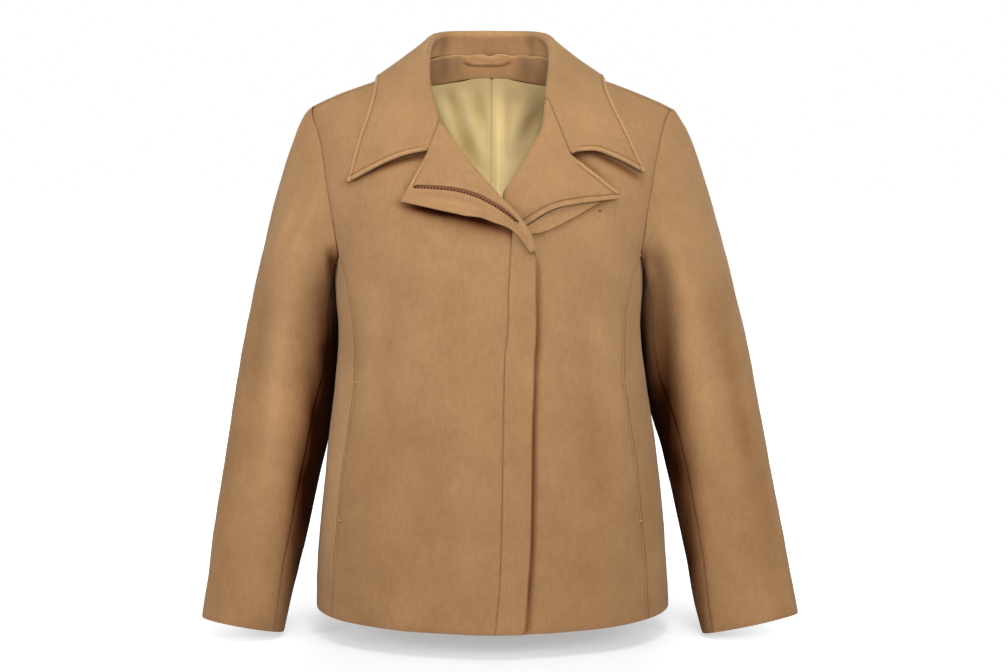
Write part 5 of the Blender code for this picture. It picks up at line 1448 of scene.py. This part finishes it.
# Creases are placed by their turn round the sleeve (m at 0.055 a radian) and height
sleeveCloth = {
    "topSleeveRight": {
        "node": "top_sleeve_right", "side": -1,
        # a painted light band and a painted shade band down the sleeve
        "shades": (
            (0.08, 0.012, ((0.086, -0.26), (0.084, -0.36), (0.092, -0.48))),
            (-0.08, 0.016, ((0.02, -0.16), (0.024, -0.3), (0.03, -0.46), (0.04, -0.6))),
        ),
        "creases": (
            (0.0018, 0.007, ((0.052, -0.15), (0.05, -0.195), (0.046, -0.245))),
            (0.0014, 0.006, ((0.078, -0.15), (0.074, -0.2), (0.07, -0.24))),
            (0.0012, 0.006, ((0.03, -0.17), (0.028, -0.21), (0.026, -0.25))),
            (0.0024, 0.012, ((0.084, -0.23), (0.08, -0.32), (0.086, -0.42), (0.092, -0.52))),
            (-0.002, 0.012, ((0.046, -0.26), (0.05, -0.34), (0.052, -0.43))),
            (-0.0016, 0.012, ((-0.06, -0.16), (-0.066, -0.23), (-0.064, -0.29))),
            (0.0016, 0.014, ((-0.03, -0.28), (-0.04, -0.38), (-0.036, -0.47))),
        ),
    },
    "underSleeveRight": {
        "node": "under_sleeve_right", "side": -1,
        "creases": (
            (-0.0018, 0.011, ((0.16, -0.3), (0.168, -0.36), (0.176, -0.42))),
            (0.0014, 0.012, ((0.196, -0.3), (0.19, -0.4), (0.194, -0.5))),
        ),
    },
    "topSleeveLeft": {
        "node": "top_sleeve_left", "side": 1,
        # a painted light band and a painted shade band down the sleeve
        "shades": (
            (0.08, 0.013, ((0.09, -0.22), (0.084, -0.32), (0.086, -0.44))),
            (-0.1, 0.014, ((0.04, -0.26), (0.042, -0.38), (0.048, -0.52), (0.054, -0.62))),
        ),
        "creases": (
            (0.0026, 0.013, ((0.096, -0.16), (0.092, -0.26), (0.094, -0.38), (0.098, -0.48))),
            (-0.0022, 0.011, ((0.06, -0.24), (0.056, -0.33), (0.058, -0.44), (0.062, -0.54))),
            (0.0014, 0.01, ((0.036, -0.3), (0.038, -0.4), (0.034, -0.52))),
            (-0.0014, 0.006, ((0.12, -0.15), (0.122, -0.21), (0.118, -0.26))),
            (-0.0016, 0.012, ((-0.058, -0.17), (-0.064, -0.24), (-0.06, -0.3))),
            (0.0016, 0.013, ((-0.028, -0.3), (-0.036, -0.4), (-0.034, -0.5))),
        ),
    },
    "underSleeveLeft": {
        "node": "under_sleeve_left", "side": 1,
        "creases": (
            (-0.0018, 0.011, ((0.158, -0.31), (0.166, -0.37), (0.172, -0.44))),
            (0.0014, 0.012, ((0.194, -0.31), (0.19, -0.39), (0.196, -0.48))),
        ),
    },
}
down = np.concatenate([np.linspace(0, 1, 90), np.linspace(1, 2, 160)[1:]])
frontSeamTurn = np.radians(follow(*np.array(sleeves["frontSeam"]).T, down))[:, None]
backSeamTurn = np.full_like(frontSeamTurn, radians(sleeves["backSeam"]))
for name, values in sleeveCloth.items():
    values.update({"chart": 0.055, "borders": {"first": "faint", "last": "faint", "low": "armhole", "high": "hem"}})
    top = name.startswith("top")
    start, end = (backSeamTurn - 2 * pi, frontSeamTurn) if top else (frontSeamTurn, backSeamTurn)
    turn = start + (end - start) * np.linspace(0, 1, 121 if top else 61)
    row = np.broadcast_to(down[:, None], turn.shape)
    side = values["side"]
    values["hollow"] = sleeveGapShade[side]
    grid = gridOf(sleevePoint(side, turn, row), sleeveInward(side, turn, row), cloth["wool"], turn)
    makeCloth(name, grid, values, wool)
print("sleeves made")

# Inside the neck
neckFacing = {
    "node": "neck_facing_back", "faces": "in", "smoothing": 160, "deeper": 0.0012, "rise": 0.0008,
    "borders": {"first": "plain", "last": "plain", "low": "seam", "high": "edge"},
    # painted light over the whole facing, painted shade in three soft folds
    "shades": (
        (1.15, 0.06, ((-0.075, -0.014), (0.0, -0.014), (0.075, -0.014))),
        (-0.6, 0.007, ((-0.056, 0.006), (-0.053, -0.01), (-0.057, -0.028))),
        (-0.34, 0.005, ((-0.04, 0.006), (-0.038, -0.008), (-0.04, -0.024))),
        (-0.6, 0.009, ((0.036, 0.006), (0.042, -0.008), (0.04, -0.026))),
    ),
}
seamLineUp = neckSeam(1, panelSteps)[0]
across = np.linspace(-1, 1, 121)
place = np.abs(across) * ridgeStep * 2
neckAcross = np.sign(across) * np.interp(place, np.arange(len(seamLineUp)), seamLineUp[:, 0])
neckLevel = np.interp(place, np.arange(len(seamLineUp)), seamLineUp[:, 1])
lowAcross = across * inside["facingEdge"][-1][0]
share = np.linspace(0, 1, 25)[:, None]
x = neckAcross + (lowAcross - neckAcross) * share
level = np.minimum(neckLevel + (facingLevel(lowAcross) - neckLevel) * share, 1.0)
turn = turnAt(x, level, -1)
normal = bodyNormal(turn, np.minimum(level, 0.995))
for step in range(neckFacing["smoothing"]):
    normal[:, 1:-1] = (normal[:, :-2] + 2 * normal[:, 1:-1] + normal[:, 2:]) / 4
normal = unit(normal)
facingDepth = cloth["wool"] + inside["facingEase"]
facingPlaces = bodyPoint(turn, level) - normal * (facingDepth + neckFacing["deeper"] * (1 - share[..., None]) ** 4)
seamRise = bodyPoint(turn, level)[0, :, 2] + neckFacing["rise"] - facingPlaces[0, :, 2]
facingPlaces[..., 2] += seamRise * (1 - share) ** 2
makeCloth("neckFacing", gridOf(facingPlaces, -normal, cloth["wool"]), neckFacing, wool)

linings = {
    -1: {
        "name": "liningRight", "node": "lining_back_right",
        "creases": (
            (-0.004, 0.012, ((-0.06, -0.045), (-0.05, -0.075), (-0.034, -0.11))),
            (-0.0034, 0.008, ((-0.034, -0.036), (-0.028, -0.066), (-0.014, -0.1), (-0.006, -0.13))),
            (0.003, 0.007, ((-0.046, -0.04), (-0.04, -0.068), (-0.026, -0.105), (-0.014, -0.135))),
            (0.0026, 0.006, ((-0.016, -0.034), (-0.012, -0.06), (-0.006, -0.09))),
        ),
        # painted shadow along the edge of the lapel above, and painted shade in the folds
        "shades": (
            (-0.46, 0.0075, ((-0.072, -0.04), (-0.066, -0.066), (-0.056, -0.09), (-0.042, -0.118), (-0.022, -0.15))),
            (-0.2, 0.006, ((-0.052, -0.062), (-0.04, -0.086), (-0.028, -0.11), (-0.012, -0.134))),
            (-0.14, 0.006, ((-0.05, -0.034), (-0.046, -0.05), (-0.04, -0.066))),
            (-0.12, 0.014, ((-0.026, -0.04), (-0.022, -0.08), (-0.01, -0.12))),
        ),
    },
    1: {
        "name": "liningLeft", "node": "lining_back_left",
        "creases": (
            (-0.005, 0.0055, ((0.006, -0.034), (0.0075, -0.1), (0.008, -0.2), (0.01, -0.32))),
            (0.003, 0.005, ((0.017, -0.034), (0.018, -0.08), (0.015, -0.13))),
            (-0.002, 0.011, ((0.07, -0.05), (0.056, -0.08), (0.04, -0.125))),
            (-0.003, 0.007, ((0.046, -0.036), (0.036, -0.06), (0.027, -0.085), (0.022, -0.11))),
            (0.003, 0.007, ((0.06, -0.06), (0.048, -0.08), (0.036, -0.105), (0.028, -0.13))),
        ),
        # painted light beside the centre seam and over the outer part, painted shade in the folds
        "shades": (
            (0.32, 0.02, ((0.008, -0.022), (0.016, -0.09), (0.012, -0.19))),
            (-0.1, 0.0045, ((0.022, -0.036), (0.022, -0.07), (0.018, -0.11))),
            (-0.24, 0.005, ((0.066, -0.046), (0.056, -0.06), (0.044, -0.076), (0.036, -0.096))),
            (-0.1, 0.005, ((0.026, -0.034), (0.03, -0.046), (0.036, -0.056))),
            (0.3, 0.015, ((0.074, -0.03), (0.066, -0.07), (0.054, -0.1), (0.036, -0.13))),
        ),
    },
}
for side, values in linings.items():
    values.update({"thick": cloth["satin"], "faces": "in", "creaseShading": 60,
                   "borders": {"last": "faint", "high": "edge", "low": "edge"}})
    facingAcross, facingHeight = np.array(inside["facingEdge"]).T
    edgeLevel = np.concatenate([levelAt(side * facingAcross[:-1], facingHeight[:-1], -1), [0.99]])
    edgeTurn = np.abs(turnAt(side * facingAcross, edgeLevel, -1))
    edgeTurn = np.where(edgeTurn < pi / 2, 2 * pi - edgeTurn, edgeTurn)
    edgeTurn = np.where(edgeTurn > pi, 2 * pi - edgeTurn, edgeTurn)
    edgeTurn[0] = pi
    levels = np.concatenate([[-1], edgeLevel - inside["liningDrop"]])
    turns = np.concatenate([[pi], edgeTurn])
    facingLine = turnLine(levels, turns, side)
    under = cloth["wool"] + inside["liningEase"]
    grid = panelGrid(-0.95, levels[-1], backArm[side], facingLine, cloth["satin"], under=under)
    makeCloth(values["name"], grid, values, satin)

# painted light over the hanger loop
hangerLoop = {"node": "hanger_loop", "raised": 0.0012, "shades": ((0.75, 0.03, ((-0.04, -0.003), (0.04, -0.003))),),
              "thick": cloth["satin"], "faces": "both", "step": 0.001, "sway": 0, "ripple": 0,
              "borders": {"first": "plain"}}
loopLine = np.array(inside["loop"])
loopLine = follow(np.arange(len(loopLine)), loopLine, np.linspace(0, len(loopLine) - 1, 61))
loopLift = -(2 * cloth["wool"] + inside["facingEase"] + inside["loopEase"])
loopGrid = np.stack([onFace(loopLine[:, 0], loopLine[:, 1] + step, loopLift, -1)
                     for step in np.linspace(1, -1, 9) * inside["loopHalf"]]) + (0, 0, hangerLoop["raised"])
makeCloth("hangerLoop", middleGrid(loopGrid, cloth["satin"]), hangerLoop, wool)
print("inside made")


# Stitching, bar-tacks and zip teeth, spaced along lines by one tree
def makeStitchTree():
    tree = bpy.data.node_groups.new("spacedAlongLines", "GeometryNodeTree")
    outside = tree.interface
    outside.new_socket("Geometry", in_out="INPUT", socket_type="NodeSocketGeometry")
    for name, value in (("Spacing", 0.0034), ("Length", 0.0027), ("Width", 0.00045), ("Height", 0.0004),
                        ("Turn", 0.0)):
        outside.new_socket(name, in_out="INPUT", socket_type="NodeSocketFloat").default_value = value
    outside.new_socket("Finish", in_out="INPUT", socket_type="NodeSocketMaterial")
    outside.new_socket("Geometry", in_out="OUTPUT", socket_type="NodeSocketGeometry")
    given = addNode(tree, "NodeGroupInput").outputs
    lines = addNode(tree, "GeometryNodeMeshToCurve", {"Mesh": given["Geometry"]})
    spaced = addNode(tree, "GeometryNodeCurveToPoints", {"Curve": lines.outputs[0], "Length": given["Spacing"]},
                     mode="LENGTH")
    outward = addNode(tree, "GeometryNodeInputNamedAttribute", {"Name": "outward"}, data_type="FLOAT_VECTOR")
    along = addNode(tree, "FunctionNodeAlignRotationToVector", {"Vector": spaced.outputs["Tangent"]}, axis="X")
    upright = addNode(tree, "FunctionNodeAlignRotationToVector",
                      {"Rotation": along.outputs[0], "Vector": outward.outputs[0]}, axis="Z", pivot_axis="X")
    size = addNode(tree, "ShaderNodeCombineXYZ", {"X": given["Length"], "Y": given["Width"], "Z": given["Height"]})
    turned = addNode(tree, "ShaderNodeCombineXYZ", {"Z": given["Turn"]})
    bead = addNode(tree, "GeometryNodeMeshUVSphere", {"Segments": 6, "Rings": 4, "Radius": 0.5})
    shaped = addNode(tree, "GeometryNodeTransform",
                     {"Geometry": bead.outputs[0], "Scale": size.outputs[0], "Rotation": turned.outputs[0]})
    placed = addNode(tree, "GeometryNodeInstanceOnPoints",
                     {"Points": spaced.outputs["Points"], "Instance": shaped.outputs[0],
                      "Rotation": upright.outputs[0]})
    real = addNode(tree, "GeometryNodeRealizeInstances", {0: placed.outputs[0]})
    smooth = addNode(tree, "GeometryNodeSetShadeSmooth", {0: real.outputs[0]})
    finished = addNode(tree, "GeometryNodeSetMaterial", {"Geometry": smooth.outputs[0], "Material": given["Finish"]})
    addNode(tree, "NodeGroupOutput", {0: finished.outputs[0]})
    return tree


def spaceAlong(name, lines, values, finish):  # a plain mesh of what repeats along lines of point and outward way
    points, edges, outward = [], [], []
    for line in lines:
        edges += [(len(points) + k, len(points) + k + 1) for k in range(len(line) - 1)]
        points += line[:, :3].tolist()
        outward += line[:, 3:6].tolist()
    data = bpy.data.meshes.new(name + "Lines")
    data.from_pydata(points, edges, [])
    data.attributes.new("outward", "FLOAT_VECTOR", "POINT").data.foreach_set("vector", np.ravel(outward))
    guide = showObject(name + "Lines", data)
    modifier = guide.modifiers.new("spaced", "NODES")
    modifier.node_group = stitchTree
    sockets = {item.name: item.identifier for item in stitchTree.interface.items_tree if item.in_out == "INPUT"}
    for key, value in {**values, "Finish": finish}.items():
        modifier[sockets[key]] = value
    shown = guide.evaluated_get(bpy.context.evaluated_depsgraph_get())
    made = bpy.data.meshes.new_from_object(shown)
    made.name = name
    guide.modifiers.clear()
    bpy.data.objects.remove(guide)
    print(f"{name}: {len(made.polygons)} faces")
    return showObject(name, made)


def lineOn(path, face=1, lift=0.0004):  # a line of point and outward way on the body, from places across and height
    path = np.array(path, float)
    level = levelAt(path[:, 0], path[:, 1], face)
    turn = turnAt(path[:, 0], level, face)
    return np.concatenate([onBody(turn, level, lift), bodyNormal(turn, level)], -1)


stitchTree = makeStitchTree()
seamStitches = {"Spacing": 0.0036, "Length": 0.0028, "Width": 0.0005, "Height": 0.00045, "Turn": 0.0, "sunk": 0.00003}
barTacks = {"Spacing": 0.00045, "Length": 0.002, "Width": 0.0005, "Height": 0.0009, "Turn": pi / 2,
            "places": ((-1, -0.367), (1, -0.367), (-1, -0.5254), (1, -0.5254)), "reach": 0.0055, "short": 0.0008}
zipTeeth = {"Spacing": 0.0037, "Length": 0.0024, "Width": 0.0021, "Height": 0.0018, "Turn": pi / 2, "raised": 0.0003,
            "below": 0.0009}
guardTack = {"Spacing": 0.0006, "Length": 0.0016, "Width": 0.0006, "Height": 0.0007, "Turn": pi / 2, "raised": 0.0008,
             "path": ((0.1204, -0.1722), (0.1216, -0.174), (0.1228, -0.1722))}


def inputsOf(values):
    return {key: value for key, value in values.items() if key[0].isupper()}


tackLines = []
for side, height in barTacks["places"]:
    seamAcross = float(np.interp(-height, [-z for z, _ in seams["princess"]], [x for _, x in seams["princess"]]))
    across = side * np.linspace(seamAcross - barTacks["reach"], seamAcross - barTacks["short"], 9)
    tackLines.append(lineOn([(x, height) for x in across]))
sunkLines = []
for line in stitching:
    sunkLines.append(np.concatenate([line[:, :3] - line[:, 3:6] * seamStitches["sunk"], line[:, 3:6]], 1))
trims = [
    spaceAlong("seamStitching", sunkLines, inputsOf(seamStitches), thread),
    spaceAlong("barTacks", tackLines, inputsOf(barTacks), thread),
    spaceAlong("guardTack", [lineOn(guardTack["path"], lift=guardTack["raised"])], inputsOf(guardTack), teeth),
]
toothLift = rightPlace["middleLift"][tapeRows] + cloth["turned"] / 2 + zipTeeth["raised"]
toothPlaces = (slitLower - slitDown * zipTeeth["below"])[tapeRows]
toothPoints = onFace(toothPlaces[:, 0], toothPlaces[:, 1], toothLift)
toothLevel = levelAt(toothPlaces[:, 0], toothPlaces[:, 1], 1)
toothOut = bodyNormal(turnAt(toothPlaces[:, 0], toothLevel, 1), toothLevel)
trims.append(spaceAlong("zipTeeth", [np.concatenate([toothPoints, toothOut], 1)], inputsOf(zipTeeth), teeth))
print("stitching, bar-tacks and teeth made")


# Each piece and trim hangs from the root; the frame part that a piece stands for is hidden
for piece, values, width, length, area in coat:
    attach(piece, "root")
    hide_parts(values["node"])
for piece in trims:
    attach(piece, "root")

# Floor, light and camera
studio = {
    "floor": -0.6705,
    "floorReach": 14.0,
    "floorShade": (0.52, 0.54, 0.56),
    # the floor's camera-only glow, low near the coat and white farther out: a painted shadow pool around the lamps'
    # real shadow
    "floorGlow": (0.4, 0.98),
    "shadowPoolReach": (0.14, 0.5),
    "shadowPoolMiddle": (0.0, -0.12, 0.0),
    "world": 0.13,
    "lamps": (
        {"name": "keySoftbox", "place": (0.3, -2.5, 0.65), "aim": (0.0, 0.0, -0.22), "size": 1.5, "power": 43.0},
        {"name": "rightSoftbox", "place": (-2.4, -1.6, 0.4), "aim": (0.0, 0.0, -0.3), "size": 1.2, "power": 44.0},
        {"name": "leftSoftbox", "place": (2.4, -1.6, 0.5), "aim": (0.0, 0.0, -0.3), "size": 1.2, "power": 32.0},
        {"name": "rearSoftbox", "place": (0.6, 3.0, 0.6), "aim": (0.0, 0.0, -0.3), "size": 1.6, "power": 25.0},
        {"name": "topSoftbox", "place": (0.2, -1.1, 2.0), "aim": (0.0, 0.0, -0.2), "size": 1.0, "power": 31.0,
         "colour": (0.96, 1.0, 0.88)},
    ),
}
camera = {"rise": 6.2, "distance": 2.3, "aside": 0.01624, "height": -0.3226, "lens": 70.81, "sensor": 36.0,
          "farthest": 60.0}

floorData = bpy.data.meshes.new("studioFloor")
reach = studio["floorReach"]
floorData.from_pydata([(-reach, -reach, 0), (reach, -reach, 0), (reach, reach, 0), (-reach, reach, 0)], [],
                      [(0, 1, 2, 3)])
floor = showObject("studioFloor", floorData)
floor.location.z = studio["floor"]
floorPaint = bpy.data.materials.new("paleFloor")
floorPaint.use_nodes = True
floorTree = floorPaint.node_tree
floorShader = floorTree.nodes["Principled BSDF"]
floorShader.inputs["Roughness"].default_value = 0.9
floorShader.inputs["Specular IOR Level"].default_value = 0.0
floorShader.inputs["Base Color"].default_value = (*studio["floorShade"], 1)
floorShader.inputs["Emission Color"].default_value = (1, 1, 1, 1)
# the camera sees the floor glow less near the coat: a painted shadow pool
rays = addNode(floorTree, "ShaderNodeLightPath")
spot = addNode(floorTree, "ShaderNodeTexCoord").outputs["Object"]
spot = addNode(floorTree, "ShaderNodeVectorMath", {0: spot, 1: studio["shadowPoolMiddle"]}, operation="SUBTRACT").outputs[0]
away = addNode(floorTree, "ShaderNodeVectorMath", {0: spot}, operation="LENGTH").outputs["Value"]
glow = addNode(floorTree, "ShaderNodeMapRange", {
    "Value": away, "From Min": studio["shadowPoolReach"][0], "From Max": studio["shadowPoolReach"][1],
    "To Min": studio["floorGlow"][0], "To Max": studio["floorGlow"][1]}, interpolation_type="SMOOTHSTEP")
seen = addNode(floorTree, "ShaderNodeMath", {0: rays.outputs["Is Camera Ray"], 1: glow.outputs[0]},
               operation="MULTIPLY")
floorTree.links.new(seen.outputs[0], floorShader.inputs["Emission Strength"])
floorData.materials.append(floorPaint)

world = bpy.data.worlds.new("softRoom")
world.use_nodes = True
bpy.context.scene.world = world
worldTree = world.node_tree
background = worldTree.nodes["Background"]
background.inputs["Color"].default_value = (1, 1, 1, 1)
rays = addNode(worldTree, "ShaderNodeLightPath")
shiny = addNode(worldTree, "ShaderNodeMath", {0: rays.outputs["Is Glossy Ray"],
                                              1: rays.outputs["Is Transmission Ray"]}, operation="MAXIMUM")
shown = addNode(worldTree, "ShaderNodeMath", {0: rays.outputs["Is Camera Ray"], 1: shiny.outputs[0]},
                operation="MAXIMUM")
strength = addNode(worldTree, "ShaderNodeMath", {0: shown.outputs[0], 1: 1 - studio["world"], 2: studio["world"]},
                   operation="MULTIPLY_ADD")
worldTree.links.new(strength.outputs[0], background.inputs["Strength"])

for values in studio["lamps"]:
    lamp = bpy.data.lights.new(values["name"], "AREA")
    lamp.shape, lamp.size, lamp.energy = "DISK", values["size"], values["power"]
    lamp.color = values.get("colour", (1, 1, 1))
    holder = showObject(values["name"], lamp)
    holder.location = values["place"]
    holder.rotation_euler = (Vector(values["aim"]) - Vector(values["place"])).to_track_quat("-Z", "Y").to_euler()

lens = bpy.data.cameras.new("viewer")
lens.lens, lens.sensor_width, lens.clip_end = camera["lens"], camera["sensor"], camera["farthest"]
viewer = showObject("viewer", lens)
rise = radians(camera["rise"])
viewer.location = (camera["aside"], -camera["distance"] * cos(rise),
                   camera["height"] + camera["distance"] * sin(rise))
viewer.rotation_euler = (pi / 2 - rise, 0, 0)
bpy.context.scene.camera = viewer
bpy.context.scene.view_settings.view_transform = "Standard"
print("studio set")
